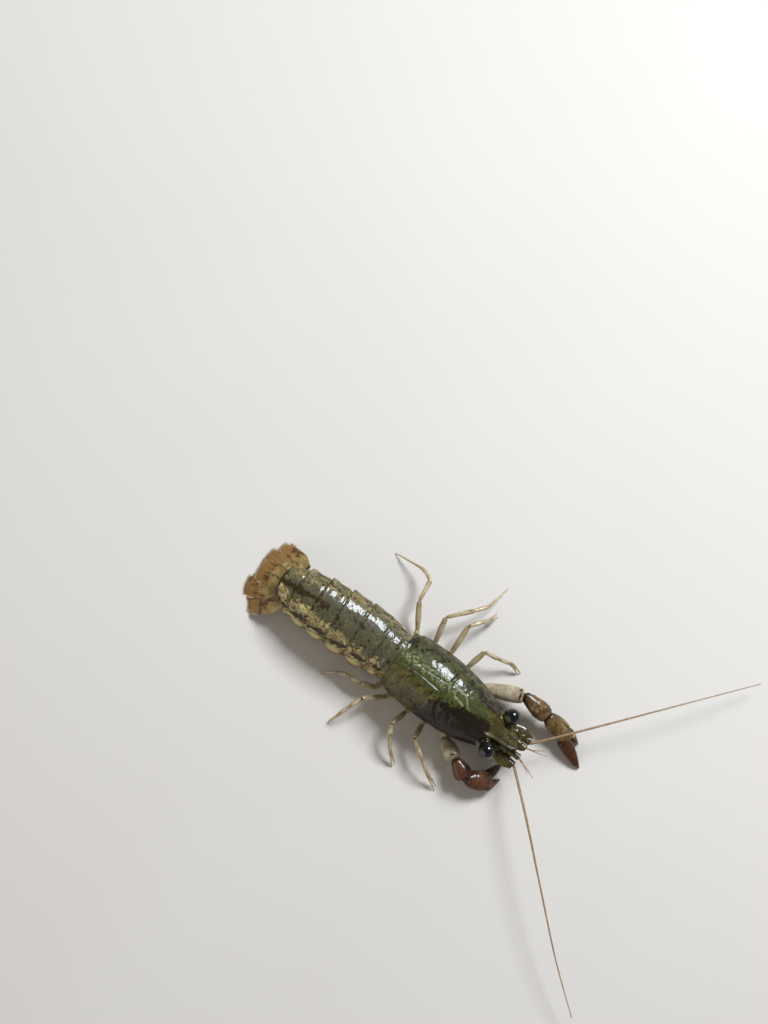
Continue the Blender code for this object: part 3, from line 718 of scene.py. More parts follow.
    def lay_down(self, height: float = CLEARANCE) -> None:
        """Lifts every lower corner to a height, which leaves a small flat to rest on."""
        for vertex in self.bm.verts:
            vertex.co.z = max(vertex.co.z, height)

    def finish(
        self,
        finishes: Sequence[Finish],
        slot: Slot,
        nodes: Sequence[str],
        wall: float = 0.0,
        thin_share: float = 1.0,
        middle: Vector | None = None,
        levels: int = 0,
    ) -> bpy.types.Object:
        """Turns the mesh into a finished piece of the model.

        Args:
            finishes: Its materials in the order of their numbers.
            slot: The record's slot for the piece. It is not used.
            nodes: The solids that it stands for.
            wall: Thickness of an open sheet, in millimetres.
            thin_share: Share of that thickness where the thin weight is 0.
            middle: A point inside an open sheet.
            levels: Subdivision.

        Returns:
            The piece.
        """
        bmesh.ops.recalc_face_normals(self.bm, faces=self.bm.faces)
        if middle is not None:
            facing = sum(
                face.normal.dot(face.calc_center_median() - middle) * face.calc_area()
                for face in self.bm.faces
            )
            if facing < 0:
                bmesh.ops.reverse_faces(self.bm, faces=self.bm.faces)
        self.bm.transform(Matrix.Translation(ORIGIN) @ Matrix.Scale(MM, 4))
        mesh = bpy.data.meshes.new(self.name)
        self.bm.to_mesh(mesh)
        self.bm.free()
        mesh.shade_smooth()
        piece = placed(self.name, mesh)
        for item in finishes:
            mesh.materials.append(Wardrobe.material(item))
        if wall:
            piece.vertex_groups.new(name="full")
            shell = piece.modifiers.new("wall", "SOLIDIFY")
            shell.thickness = wall * MM
            shell.offset = -1.0
            if thin_share < 1.0:
                shell.vertex_group = "full"
                shell.thickness_vertex_group = thin_share
        if levels:
            finer = piece.modifiers.new("finer", "SUBSURF")
            finer.levels = finer.render_levels = levels
        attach(piece, "root")
        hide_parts(*nodes)
        log.info("%s stands for %s", self.name, ", ".join(nodes))
        return piece


@dataclass
class Carapace:
    """The one-piece shell over head and thorax, with the rostrum between the eyes."""

    length: float = 9.05
    profile: Sequence[Sequence[float]] = (  # place, half width, top, lower edge
        (0.0, 2.22, 4.28, 1.45),
        (0.9, 2.54, 4.62, 1.35),
        (2.8, 2.69, 4.94, 1.35),
        (4.7, 2.64, 5.0, 1.35),
        (6.4, 2.44, 4.84, 1.35),
        (8.0, 2.05, 4.4, 1.6),
        (9.05, 1.66, 3.98, 2.15),
    )
    rostrum: Sequence[Sequence[float]] = (  # place, half width, top, thickness
        (8.1, 1.0, 4.2, 0.6),
        (9.0, 0.8, 4.06, 0.62),
        (9.8, 0.62, 3.92, 0.54),
        (10.7, 0.53, 3.82, 0.5),
        (11.1, 0.44, 3.8, 0.42),
        (11.4, 0.2, 3.8, 0.3),
        (11.8, 0.04, 3.84, 0.12),
    )
    arch_power: float = 0.9
    widest: float = 0.33
    tuck: float = 0.86
    tuck_angle: float = -80.0
    groove_depth: float = 0.13
    groove_width: float = 0.11
    groove_place: float = 4.4
    groove_sweep: float = 2.6
    orbit_depth: float = 0.4
    orbit_share: float = 0.72
    rear_corner: float = 0.55
    front_corner: float = 0.3
    rim_raise: float = 0.09
    wall: float = 0.1
    columns: int = 176
    back_rows: int = 132
    rostrum_rows: int = 40
    middle_share: float = 0.3  # share of the columns that run on into the rostrum
    fold_columns: int = 7  # columns on each side that fold under the rostrum

    def section(self, place: float, degrees: float) -> tuple[float, float]:
        """Half width and height of the arch.

        Args:
            place: Where along the shell.
            degrees: The angle up from its widest line.

        Returns:
            The distance from the middle, and the height.
        """
        half, top, edge = hermite(self.profile, place)
        line = edge + self.widest * (top - edge)
        a = math.radians(degrees)
        if degrees >= 0:
            y = half * max(math.cos(a), 0.0) ** self.arch_power
            return y, line + (top - line) * math.sin(a) ** self.arch_power
        return half * (self.tuck + (1 - self.tuck) * math.cos(a)), line + (line - edge) * math.sin(a)

    def angle(self, place: float, y: float) -> float:
        """Degrees of the arch's point that lies y to the side."""
        half = hermite(self.profile, place)[0]
        return math.degrees(math.acos(min((y / half) ** (1 / self.arch_power), 1.0)))

    def margin(self, station: float, share: float) -> float:
        """How far the rear and front margins move a point, low on the sides.

        Args:
            station: Where along the shell.
            share: Height, as a share of the arch.

        Returns:
            The distance forward.
        """
        low = 1 - clamp(share)
        rear = self.rear_corner * low**2 * (1 - smooth_step(0.0, 1.8, station))
        orbit = self.orbit_depth * hill(share, self.orbit_share, 0.17)
        front = (self.front_corner * low**1.5 + orbit) * smooth_step(7.4, self.length, station)
        return rear - front

    def sweep(self, station: float, share: float) -> float:
        """How far the cervical groove's curve moves a point down the sides.

        Args:
            station: Where along the shell.
            share: Height, as a share of the arch.

        Returns:
            The distance forward.
        """
        low = 1 - clamp(share)
        rise = smooth_step(0.9, self.groove_place, station)
        rise *= 1 - smooth_step(self.groove_place, 8.6, station)
        return self.groove_sweep * rise * low**1.2 * smooth_step(0.02, 0.3, share)

    def relief(self, station: float, place: float, share: float, y: float) -> float:
        """Height of the shell's grooves, ridges and beads over its plain arch.

        Args:
            station: Where along the shell, before the margins' and groove's curves.
            place: The same after them.
            share: Height, as a share of the arch.
            y: Distance from the middle.

        Returns:
            The height.
        """
        depth = self.groove_depth * smooth_step(0.18, 0.4, share)
        height = -depth * hill(station, self.groove_place, self.groove_width)
        # The areola: a narrow flat strip along the back between two fine grooves
        strip = smooth_step(0.35, 0.8, place) * (1 - smooth_step(3.6, 4.2, place))
        waist = 0.26 + 0.16 * abs(place - 2.2) / 2.0
        height -= 0.07 * strip * hill(abs(y), waist, 0.07) * smooth_step(0.5, 0.8, share)
        # The rear edge and the lower edge end in a thickened bead behind a fine groove
        height += 0.035 * hill(place - self.margin(0.0, share), 0.07, 0.09)
        height -= 0.06 * hill(place - self.margin(0.0, share), 0.3, 0.1)
        height += 0.03 * hill(share, 0.0, 0.02) - 0.04 * hill(share, 0.06, 0.02)
        # A ridge behind each orbit
        ridge = smooth_step(7.1, 7.7, place) * (1 - smooth_step(8.75, 9.1, place))
        height += 0.09 * ridge * hill(abs(y), 1.03, 0.16)
        spot = Vector((place, y, share * 3))
        return height + 0.05 * (mottle(spot, 0.9, 3.0) - 0.5) + 0.035 * (mottle(spot, 0.26, 8.0) - 0.5)

    def trough(self, place: float, share: float) -> float:
        """Height of the rostrum's top: a shallow trough between two thickened margins.

        Args:
            place: Where along the animal.
            share: Distance from the middle, as a share of the half width.

        Returns:
            The height.
        """
        half, top, _ = hermite(self.rostrum, place)
        rim = min(self.rim_raise, half * 0.4)
        return top - rim * (1 - hill(share, 0.84, 0.17)) - rim * 0.7 * smooth_step(0.9, 1.0, share)

    def place(self, across: float, along: float) -> Vector:
        """Place of a corner of the shell's outer face.

        Args:
            across: Share of the way from the right lower edge to the left.
            along: Share of the way from the rear edge to the rostrum's tip.

        Returns:
            The place.
        """
        side = 1 if across >= 0.5 else -1
        column = abs(across * 2 - 1)
        split = self.back_rows / (self.back_rows + self.rostrum_rows)
        middle = min(column / self.middle_share, 1.0)
        outer = max((column - self.middle_share) / (1 - self.middle_share), 0.0)
        if along > split + 1e-6:
            ahead = (along - split) / (1 - split)
            x = self.length + (self.rostrum[-1][0] - self.length) * ahead**0.9
            half, top, thick = hermite(self.rostrum, x)
            if outer == 0.0:
                return Vector((x, side * half * middle, self.trough(x, middle)))
            fold = min(outer * self.columns * (1 - self.middle_share) / 2 / self.fold_columns, 1.0)
            low = self.trough(x, 1.0) - (thick - 0.1) * math.sin(fold * math.pi / 2)
            return Vector((x, side * half * (1 - fold**1.8), low))
        station = self.length * along / split
        wide = hermite(self.rostrum, max(station, self.rostrum[0][0]))[0]
        start = self.angle(station, wide)
        degrees = start + (self.tuck_angle - start) * outer
        if outer == 0.0:
            degrees = self.angle(station, wide * middle)
        _, top, edge = hermite(self.profile, station)
        share = (self.section(station, degrees)[1] - edge) / (top - edge)
        x = station + self.margin(station, share) + self.sweep(station, share)
        if outer == 0.0:
            x = station + (x - station) * middle**2 * (1 - smooth_step(8.0, 9.0, station))
        y, z = self.section(min(x, self.length), degrees)
        lift = self.relief(station, x, share, y)
        blend = smooth_step(8.0, self.length, station) if outer == 0.0 else 0.0
        a = math.radians(degrees)
        y += lift * math.cos(a) * (1 - blend)
        z += lift * math.sin(a) * (1 - blend)
        if blend:
            y = y * (1 - blend) + wide * middle * blend
            z = z * (1 - blend) + self.trough(max(x, self.rostrum[0][0]), middle) * blend
        return Vector((x, side * y, z))

    def paint(self, across: float, along: float, point: Vector) -> Triple:
        """Markings by their place on the shell.

        Args:
            across: Share across, which isn't needed here.
            along: Share along, which isn't needed here.
            point: The place.

        Returns:
            The dark, pale and green share of the pigment.
        """
        x, y, z = point
        rough = mottle(point, 0.6, 5.0) - 0.5
        fine = mottle(point, 0.2, 9.0) - 0.5
        band = hill(y, 0.35, 0.6) * smooth_step(-0.4, 0.6, x) * (1 - smooth_step(4.6, 6.2, x))
        # The right flank's colours reach the middle towards the head
        limit = -0.45 + 0.75 * smooth_step(4.8, 7.4, x)
        flank = 1 - smooth_step(limit - 0.7, limit + 0.1, y + 0.6 * rough)
        left = smooth_step(0.7, 1.3, y)
        head = smooth_step(7.0, 8.0, x)
        # The right flank is brown-black from the cervical groove to the eye
        rear_line = 3.8 + 0.5 * (y + 1.2)
        patch = flank * smooth_step(rear_line - 0.4, rear_line + 0.7, x + 0.9 * rough)
        patch *= 1 - 0.85 * smooth_step(8.2, 9.1, x + 0.6 * rough)
        dark = patch * (0.86 + 0.5 * rough - 0.2 * smooth_step(2.4, 1.5, z)) + left * (0.4 + 0.9 * rough)
        dark += 0.4 * head * (1 - hill(abs(y), 0.66, 0.12))
        dark += 0.8 * hill(x, 0.08, 0.1) * smooth_step(3.9, 2.4, z)
        veins = abs(noise.noise(Vector((x * 1.1, y * 2.2, z * 1.6)) + Vector((7.0, 2.0, 4.0))))
        dark += 0.5 * flank * (1 - smooth_step(0.0, 0.09, veins)) * (1 - smooth_step(3.4, 3.9, x))
        dark += 0.6 * smooth_step(0.02, 0.25, fine) * (1 - head)
        pale = band * (0.5 + 2.6 * fine)
        # Two thin broken pale lines meet in a V behind the head
        bend = 0.12 * math.sin(x * 5.0) + 0.3 * rough
        inner = hill(y + bend, 0.72 - 0.506 * (x - 5.2), 0.09)
        inner += hill(y + bend, 0.1 - 0.39 * (x - 5.05), 0.09)
        pale += 1.3 * inner * (0.75 + 1.5 * fine) * smooth_step(4.9, 5.2, x) * (1 - smooth_step(6.7, 7.0, x))
        pale += 0.5 * flank * (1 - smooth_step(3.3, 3.8, x)) * smooth_step(3.4, 2.2, z) * (0.5 + 2 * rough)
        pale += left * (0.15 + 1.8 * fine) * (1 - smooth_step(5.5, 7.0, x))
        pale += 0.5 * hill(x, -0.1, 0.25) * (1 - flank)
        pale = max(pale, 0.0) * (1 - 0.85 * patch) + 0.3 * head * hill(abs(y), 0.66, 0.09)
        green = (1 - flank) * (1 - 0.35 * left) * (1 - 0.8 * smooth_step(7.0, 9.2, x))
        return clamp(dark), clamp(pale), clamp(green)

    def build(self) -> None:
        """Makes the shell."""
        work = Workpiece("carapace_shell")
        rows = self.back_rows + self.rostrum_rows
        fold_share = self.middle_share + self.fold_columns * 2 / self.columns
        split = self.back_rows / rows

        def keep(across: float, along: float) -> bool:
            """Only the middle columns go on into the rostrum."""
            return along < split or abs(across * 2 - 1) < fold_share

        made = work.sheet(self.columns, rows, self.place, self.paint, keep)
        for vertex in made:
            vertex[work.thin][0] = 1 - smooth_step(8.6, 9.3, vertex.co.x)
        work.finish(
            [CARAPACE_SHELL], Slot.CARAPACE, ["carapace"], self.wall, 0.12, Vector((5.0, 0.0, 2.6))
        )


@dataclass
class Abdomen:
    """Six overlapping plates, each with a leaf-shaped side plate on both sides."""

    segments: Sequence[Sequence[float]] = (  # length, half width, height, side drop, rear taper
        (1.25, 2.14, 1.86, 1.2, 0.0),
        (1.95, 2.36, 1.86, 1.78, 0.0),
        (1.85, 2.38, 1.84, 1.84, 0.0),
        (1.75, 2.28, 1.74, 1.76, 0.0),
        (1.65, 2.14, 1.58, 1.62, 0.03),
        (1.55, 1.92, 1.34, 1.0, 0.3),
    )
    axis_height: float = 2.42
    start: float = -0.28
    bend_start: float = 3.4
    bend: float = 24.0
    yaw: float = 5.0
    tuck_under: float = 0.42  # how far a plate's front runs under the one before it
    overhang: float = 0.1
    arch: float = 0.68  # where the side plate starts, as a share of the way from the midline
    step: float = 0.05  # between stations on the axis
    wall: float = 0.06
    flare: float = 0.97  # half width where the side plates start, as a share of the whole
    columns: int = 120
    rows: int = 36
    axis: list[tuple[float, Vector, Vector]] = field(default_factory=list)

    def __post_init__(self) -> None:
        """Steps along the axis, which sinks and swings to the right towards the tail."""
        spot, run = Vector((self.start, 0.0, self.axis_height)), 0.0
        total = sum(row[0] for row in self.segments) + 0.6
        while run < total:
            pitch = math.radians(self.bend) * smooth_step(self.bend_start, total + 1.0, run)
            yaw = math.radians(self.yaw) * smooth_step(0.0, 4.0, run)
            level = Vector((-math.cos(yaw), -math.sin(yaw), 0.0))
            along = level * math.cos(pitch) - UP * math.sin(pitch)
            self.axis.append((run, spot.copy(), along))
            spot += along * self.step
            run += self.step

    def frame(self, run: float) -> tuple[Vector, Vector, Vector, Vector]:
        """Looks up the axis at a distance behind its start.

        Args:
            run: The distance.

        Returns:
            The place, and the backward, left and up directions there.
        """
        if run < 0:
            _, spot, along = self.axis[0]
            spot = spot + along * run
        else:
            k = min(int(run / self.step), len(self.axis) - 2)
            share = run / self.step - k
            spot = self.axis[k][1].lerp(self.axis[k + 1][1], share)
            along = self.axis[k][2].lerp(self.axis[k + 1][2], share).normalized()
        left = UP.cross(-along).normalized()
        return spot, along, left, (-along).cross(left)

    @property
    def total(self) -> float:
        """Length of all segments."""
        return sum(row[0] for row in self.segments)

    def plate(self, number: int) -> None:
        """Makes one segment's plate.

        Args:
            number: The segment, from 1 at the front.
        """
        length, half, rise, drop, taper = self.segments[number - 1]
        first = sum(row[0] for row in self.segments[: number - 1])
        last = number == len(self.segments)
        behind = 0.0 if last else self.overhang

        def place(across: float, along: float) -> Vector:
            """Place of a corner of the plate's outer face."""
            turn = across * 2 - 1
            side, turn = (1 if turn >= 0 else -1), abs(turn)
            reach = -self.tuck_under + along * (length + self.tuck_under + behind)
            share = clamp(reach / length)
            spot, way, left, up = self.frame(first + reach)
            wide = half * (1 - taper * smooth_step(0.3, 1.0, share))
            # The hidden front lies deeper, then a groove, then the raised plate
            swell = 0.93 + 0.05 * smooth_step(0.0, 0.2, share) + 0.03 * smooth_step(0.5, 0.95, share)
            swell -= 0.018 * hill(share, 0.14, 0.05) - 0.008 * hill(share, 0.96, 0.04)
            if turn <= self.arch:
                a = math.pi / 2 * (1 - turn / self.arch)
                y = wide * self.flare * math.cos(a) ** 0.88 * swell
                z = rise * math.sin(a) ** 0.88 * swell
                here = spot + left * y * side + up * z
                ripple = 0.03 * (mottle(here, 0.5, 2.0) - 0.5) + 0.02 * (mottle(here, 0.2, 6.0) - 0.5)
                return spot + left * side * (y + ripple) + up * (z + ripple)
            # The side plate: a leaf, longest in its middle and pointed a little backward
            fall = (turn - self.arch) / (1 - self.arch)
            lobe = max(math.sin(math.pi * clamp(0.06 + 0.9 * share**1.15)), 0.0) ** 0.6
            deep = drop * (0.34 + 0.66 * lobe)
            pinch = 0.25 * length * fall**1.5 * (share - 0.4)
            bulge = 0.05 * math.sin(math.pi * fall) * math.sin(math.pi * share)
            start_y = wide * self.flare * swell
            end_y = wide * (0.92 + 0.13 * lobe) * (0.93 + 0.07 * swell)
            y = start_y + (end_y - start_y) * (0.6 * fall + 0.4 * smooth_step(0.0, 1.0, fall))
            spot = spot - way * pinch * (1 if share > 0 else 0)
            return spot + left * side * (y + bulge) - up * deep * fall

        def paint(across: float, along: float, point: Vector) -> Triple:
            """Grey-olive back with a dark midline, mottled flanks and straw side plates."""
            turn = across * 2 - 1
            reach = -self.tuck_under + along * (length + self.tuck_under + behind)
            share = reach / length
            rough = mottle(point, 0.5, number * 3.0) - 0.5
            fine = mottle(point, 0.2, number * 5.0) - 0.5
            drift = Vector((rough, mottle(point, 0.6, 4.0) - 0.5, mottle(point, 0.45, 7.0) - 0.5))
            rim, own = cells(Vector((point.x * 0.7, point.y, point.z)) + drift * 1.1, 0.72)
            rim *= smooth_step(-0.2, 0.12, fine)
            arch = abs(turn)
            right = 1.0 if turn < 0 else 0.0
            where = clamp((first + share * length) / self.total)
            spread = 0.3 - 0.23 * where
            back = 1 - smooth_step(spread - 0.05, spread + 0.1, abs(turn + 0.02) + 0.25 * rough)
            dark = 1.1 * hill(turn + 0.08 * rough, -0.02, 0.034) * smooth_step(0.4, 0.85, where)
            dark += 0.45 * back * smooth_step(-0.05, 0.25, rough + 0.5 * fine)
            dark += 0.35 * hill(share, 1.03, 0.05)
            if last:
                dark += 1.2 * hill(share, 0.97, 0.06)
            # One dark blotch above each side plate, stronger on the right
            blotch = hill(share, 0.48, 0.27) ** 0.6 * hill(arch + 0.08 * rough, 0.47, 0.06)
            dark += 1.2 * blotch * (0.5 + 0.6 * right)
            side = smooth_step(0.63, 0.67, arch)
            leaf = side * (1 - smooth_step(0.87, 0.93, arch))
            outline = 0.8 * smooth_step(0.89, 0.95, arch) + 0.8 * hill(share, 1.02, 0.1)
            dark += side * (outline + 0.7 * hill(share, 0.05, 0.07))
            dark += 0.8 * hill(arch, 0.645, 0.022) + 0.55 * rim * (1 - back) * (1 - side)
            dark += 0.35 * smooth_step(0.0, 0.25, fine) * (1 - side)
            pale = 0.95 * leaf * hill(share, 0.55, 0.42)
            pale += 0.7 * hill(arch, 0.575, 0.04) * hill(share, 0.6, 0.3)
            patches = (1 - side) * (1 - rim) * (0.1 + 0.55 * own + 0.6 * rough) * (0.35 + 0.6 * right)
            pale += (1 - back) * patches + 0.26 * back * smooth_step(0.0, 0.3, -rough - 0.4 * fine)
            # The left of the back is dimmer than the right
            tone = max(back, (1 - right) * (1 - side) * (0.55 + 0.6 * rough))
            return clamp(dark), clamp(pale), clamp(tone)

        work = Workpiece(f"abdomen_plate_{number}")
        work.sheet(self.columns, self.rows, place, paint)
        middle = self.frame(first + length / 2)[0]
        work.finish([ABDOMEN_SHELL], Slot.ABDOMEN, [f"abdomen_{number}"], self.wall, middle=middle)

    def build(self) -> None:
        """Makes all six plates."""
        for number in range(1, len(self.segments) + 1):
            self.plate(number)


@dataclass
class TailFan:
    """The telson and two pairs of uropods, with a fringe of hairs round the rear."""

    abdomen: Abdomen
    pitch: float = 35.6
    turn: float = 1.8
    hinge: float = 0.5
    setback: float = 0.1
    thickness: float = 0.16
    telson: tuple[float, float] = (0.96, 2.7)
    hairs: float = 130.0  # to a millimetre of half width and length together
    hair_radius: float = 0.009
    rise: float = 0.012  # mm, that the plates keep from the floor
    # Half width, length; root behind and beside the hinge; degrees out, rolled; depth
    uropods: dict[str, tuple[float, ...]] = field(
        default_factory=lambda: {
            "inner_left": (0.92, 2.75, -0.1, 0.7, 11.0, 4.0, 0.2),
            "outer_left": (1.06, 3.4, -1.2, 1.42, 10.0, 10.0, 0.36),
            "inner_right": (0.94, 3.15, -0.1, 0.72, 15.0, 4.0, 0.2),
            "outer_right": (1.08, 3.2, -0.9, 1.4, 19.0, 10.0, 0.36),
        }
    )

    def blade(
        self,
        name: str,
        node: str,
        root: Vector,
        along: Vector,
        across: Vector,
        crown: Vector,
        half: float,
        length: float,
        suture: float,
        square: float,
    ) -> None:
        """Makes one plate of the fan with its ridge, its suture and its fringe.

        Args:
            name: The piece's name.
            node: The solid that it stands for.
            root: Middle of its root.
            along: Direction from root to rear edge.
            across: Direction over its width.
            crown: The direction that its upper face looks.
            half: Half its width.
            length: Its length.
            suture: Place of the cross suture as a share of the length, or 0 for none.
            square: How square its rear end is, from 0 to 1.
        """
        work = Workpiece(name)
        rows, sides = 46, 44
        draw = random.Random(name)

        def width(t: float) -> float:
            """Half width at a share of the length."""
            power = 2.2 + 3.0 * square
            start = 0.72 - 0.1 * square
            end = (1 - max((t - start) / (1 - start), 0.0) ** power) ** (1 / power) if t < 1 else 0.0
            neck = 0.5 + 0.5 * smooth_step(0.0, 0.42, t) ** 0.7
            return half * neck * end

        def level(t: float) -> Vector:
            """Middle of the plate at a share of its length, which droops a little."""
            return root + along * length * t - crown * 0.12 * t * t

        def shape(u: float, v: float) -> Vector:
            """Place of a corner."""
            t = 0.5 - 0.5 * math.cos(math.pi * v) if v > 0.5 else v
            turn = TURN * u
            flat = math.cos(turn)
            wide = width(t)
            thick = self.thickness / 2 * (0.35 + 0.65 * (1 - flat**2)) * (1 - 0.5 * t)
            face = signed_power(math.sin(turn), 0.7) * thick
            ridge = 0.07 * hill(flat * wide, 0.0, 0.09) * math.sin(math.pi * min(t * 1.05, 1.0)) * (face > 0)
            camber = 0.12 * (1 - (flat * wide / half) ** 2)
            step = 0.03 * hill(t, suture, 0.012) * (face > 0) if suture else 0.0
            if t >= 1:
                face = 0.0
            return level(min(t, 1.0)) + across * wide * flat + crown * (face + ridge + camber - step)

        def paint(u: float, v: float, point: Vector) -> Triple:
            """Pale patches by the root, dark streaks further on and an amber rear edge."""
            t = 0.5 - 0.5 * math.cos(math.pi * v) if v > 0.5 else v
            across_here = math.cos(TURN * u)
            flat = abs(across_here)
            rough = mottle(point, 0.5, 4.0) - 0.5
            rim, own = cells(point + Vector((rough, -rough, 0.7 * rough)), 0.62)
            streak = mottle(Vector((across_here * half * 2.2, t * length * 0.45, length * 7)), 0.6) - 0.5
            root = 1 - smooth_step(0.15, 0.75, t + 0.5 * rough)
            dark = 0.7 * smooth_step(0.95, 1.0, flat) + (0.4 * hill(t, suture, 0.025) if suture else 0.0)
            dark += 0.7 * (1 - smooth_step(0.0, 0.08, t)) + 0.35 * hill(across_here, 0.0, 0.1)
            dark += 0.4 * rim * root
            dark += 0.85 * smooth_step(-0.12, 0.35, streak + 0.4 * rough) * hill(t, 0.6, 0.27)
            dark *= 1 - 0.8 * smooth_step(0.8, 0.98, t)
            pale = (0.1 + 0.5 * own + 0.7 * rough) * root * (1 - rim) * (1 - flat**4)
            pale = max(pale, 0.0) + 0.3 * smooth_step(0.05, 0.3, -streak) * (1 - root)
            return clamp(dark), clamp(pale), 0.9 * (1 - root)

        work.sheet(sides, rows, shape, paint)
        count = round(self.hairs * (half + length))
        for k in range(count):
            # Hairs stand all round the rear half, longest at the end
            share = k / (count - 1) * 2 - 1
            t = 1 - 0.3 * abs(share) ** 1.6
            reach = width(min(t, 0.9995)) * (1 if share >= 0 else -1)
            inner = abs(share) < 0.55
            if inner:
                reach = width(0.93) * share / 0.55
                t = 0.985 - 0.055 * abs(share / 0.55) ** 4
            root_point = level(t) + across * reach * 0.97 + crown * 0.02
            lean = across * share * 0.6 + along
            size = (0.46 if inner else 0.3) * draw.uniform(0.35, 1.1)
            tip = root_point + (lean.normalized() + crown * draw.uniform(-0.14, 0.02)) * size
            tip.z = max(tip.z, 0.02)
            work.bristle(root_point, tip, self.hair_radius)
        work.lay_down(self.rise)
        work.finish([FAN_SHELL, SETAE], Slot.FAN, [node])

    def build(self) -> None:
        """Makes the five plates of the fan."""
        spot, along, _, up = self.abdomen.frame(self.abdomen.total)
        level = Matrix.Rotation(math.radians(self.turn), 3, "Z") @ Vector((along.x, along.y, 0)).normalized()
        pitch = math.radians(self.pitch)
        down = level * math.cos(pitch) - UP * math.sin(pitch)
        left = UP.cross(-level)
        crown = (-down).cross(left)
        hinge = spot + up * self.hinge + along * self.setback
        self.blade("telson_plate", "telson", hinge - down * 0.25, down, left, crown, *self.telson, 0.58, 0.8)
        for word, (half, length, back, out, turn, roll, sink) in self.uropods.items():
            side = 1 if word.endswith("left") else -1
            rolled, turned = math.radians(roll), math.radians(turn)
            outward = left * side * math.cos(rolled) - crown * math.sin(rolled)
            face = left * side * math.sin(rolled) + crown * math.cos(rolled)
            way = down * math.cos(turned) + outward * math.sin(turned)
            across = outward * math.cos(turned) - down * math.sin(turned)
            root = hinge + down * back + left * side * out - crown * sink
            suture = 0.66 if word.startswith("outer") else 0.0
            node = f"uropod_{word}"
            self.blade(f"{node}_plate", node, root, way, across, face, half, length, suture, 0.25)


@dataclass
class Leg(Sided):
    """A walking leg in five pieces, the first pairs with a small pincer."""

    number: int
    side: int
    root: float
    knee: Triple
    wrist: Triple
    ankle: Triple
    tip: Triple
    radius: float = 0.19
    root_out: float = 1.05
    root_height: float = 0.8
    clear: float = 2.75

    def article(
        self, work: Workpiece, points: Sequence[Vector], sizes: Sequence[float], slim: float, seed: float
    ) -> None:
        """Adds one piece of the leg: darker at its joints, with a few bristles.

        Args:
            work: The leg's mesh.
            points: Places along the piece.
            sizes: Half width at each of them.
            slim: Half height as a share of the half width.
            seed: Start of the piece's own random marks.
        """

        def paint(u: float, v: float, point: Vector) -> Triple:
            """Clear straw with darker ends and faint bands."""
            ends = hill(v, 0.0, 0.1) + hill(v, 1.0, 0.09)
            rough = mottle(point, 0.3, seed) - 0.5
            dark = 0.75 * ends + 0.5 * smooth_step(0.12, 0.3, rough)
            return clamp(dark), 0.6 * hill(v, 0.5, 0.25), 0.3 * ends

        work.tube(points, [(s, s * slim) for s in sizes], 12, 16, paint=paint)
        draw = random.Random(f"{self.number}{self.word}{seed}")
        start, end = Vector(points[0]), Vector(points[-1])
        run = (end - start).normalized()
        lie = run.orthogonal().normalized()
        for _ in range(9):
            share = draw.uniform(0.25, 0.97)
            out = Matrix.Rotation(draw.uniform(0, TURN), 3, run) @ lie
            middle = Vector(hermite([(i / (len(points) - 1), *p) for i, p in enumerate(points)], share))
            size = hermite([(i / (len(points) - 1), s) for i, s in enumerate(sizes)], share)[0]
            root = middle + out * size * slim * 0.85
            tip = root + (out * 0.6 + run) * draw.uniform(0.09, 0.17)
            if tip.z > 0.03 and root.z > 0.03:
                work.bristle(root, tip, 0.009)

    def build(self) -> None:
        """Makes the leg."""
        work = Workpiece(f"walking_leg_{self.number}_{self.word}")
        r = self.radius
        start = Vector((self.root, self.side * self.root_out, self.root_height))
        knee, wrist, ankle, tip = (Vector(p) for p in (self.knee, self.wrist, self.ankle, self.tip))
        clear = Vector((between(start, knee, 0.35).x, self.side * self.clear, self.root_height))
        bend = clear + (knee - clear).normalized() * 0.1
        self.article(work, [start, between(start, clear, 0.45)], [r * 1.45, r * 1.25], 1.0, 1.0)
        self.article(work, [between(start, clear, 0.38), bend], [r * 1.05, r * 1.2], 0.95, 2.0)
        thigh = between(clear, knee, 0.5) + UP * 0.05
        hip = clear - (knee - clear).normalized() * 0.06
        self.article(work, [hip, thigh, knee], [r * 0.85, r * 1.25, r], 0.85, 3.0)
        shin = [knee, between(knee, wrist, 0.55), between(knee, wrist, 0.92)]
        self.article(work, shin, [r * 0.72, r * 0.95, r * 1.02], 0.9, 4.0)
        foot = [between(knee, wrist, 0.86), between(wrist, ankle, 0.45), ankle]
        self.article(work, foot, [r * 0.66, r * 0.9, r * 0.62], 0.85, 5.0)
        drop = (tip - ankle).normalized()
        hook = drop.cross(UP.cross(drop)).normalized()
        bow = between(ankle, tip, 0.5) - hook * 0.06 * (1 if hook.z < 0 else -1)
        end = tip + UP * 0.02
        self.article(work, [between(wrist, ankle, 0.94), bow, end], [r * 0.52, r * 0.42, r * 0.12], 0.9, 6.0)
        if self.number in (2, 3):
            outward = UP.cross(drop).normalized() * self.side
            fixed = [between(wrist, ankle, 0.72), between(ankle, tip, 0.18) - outward * 0.17,
                     between(ankle, tip, 0.8) - outward * 0.24]
            self.article(work, fixed, [r * 0.6, r * 0.48, r * 0.14], 0.9, 7.0)
        work.lay_down()
        work.finish([LEG_SHELL, SETAE], Slot.LEG, [f"leg_{self.number}_{self.word}"])


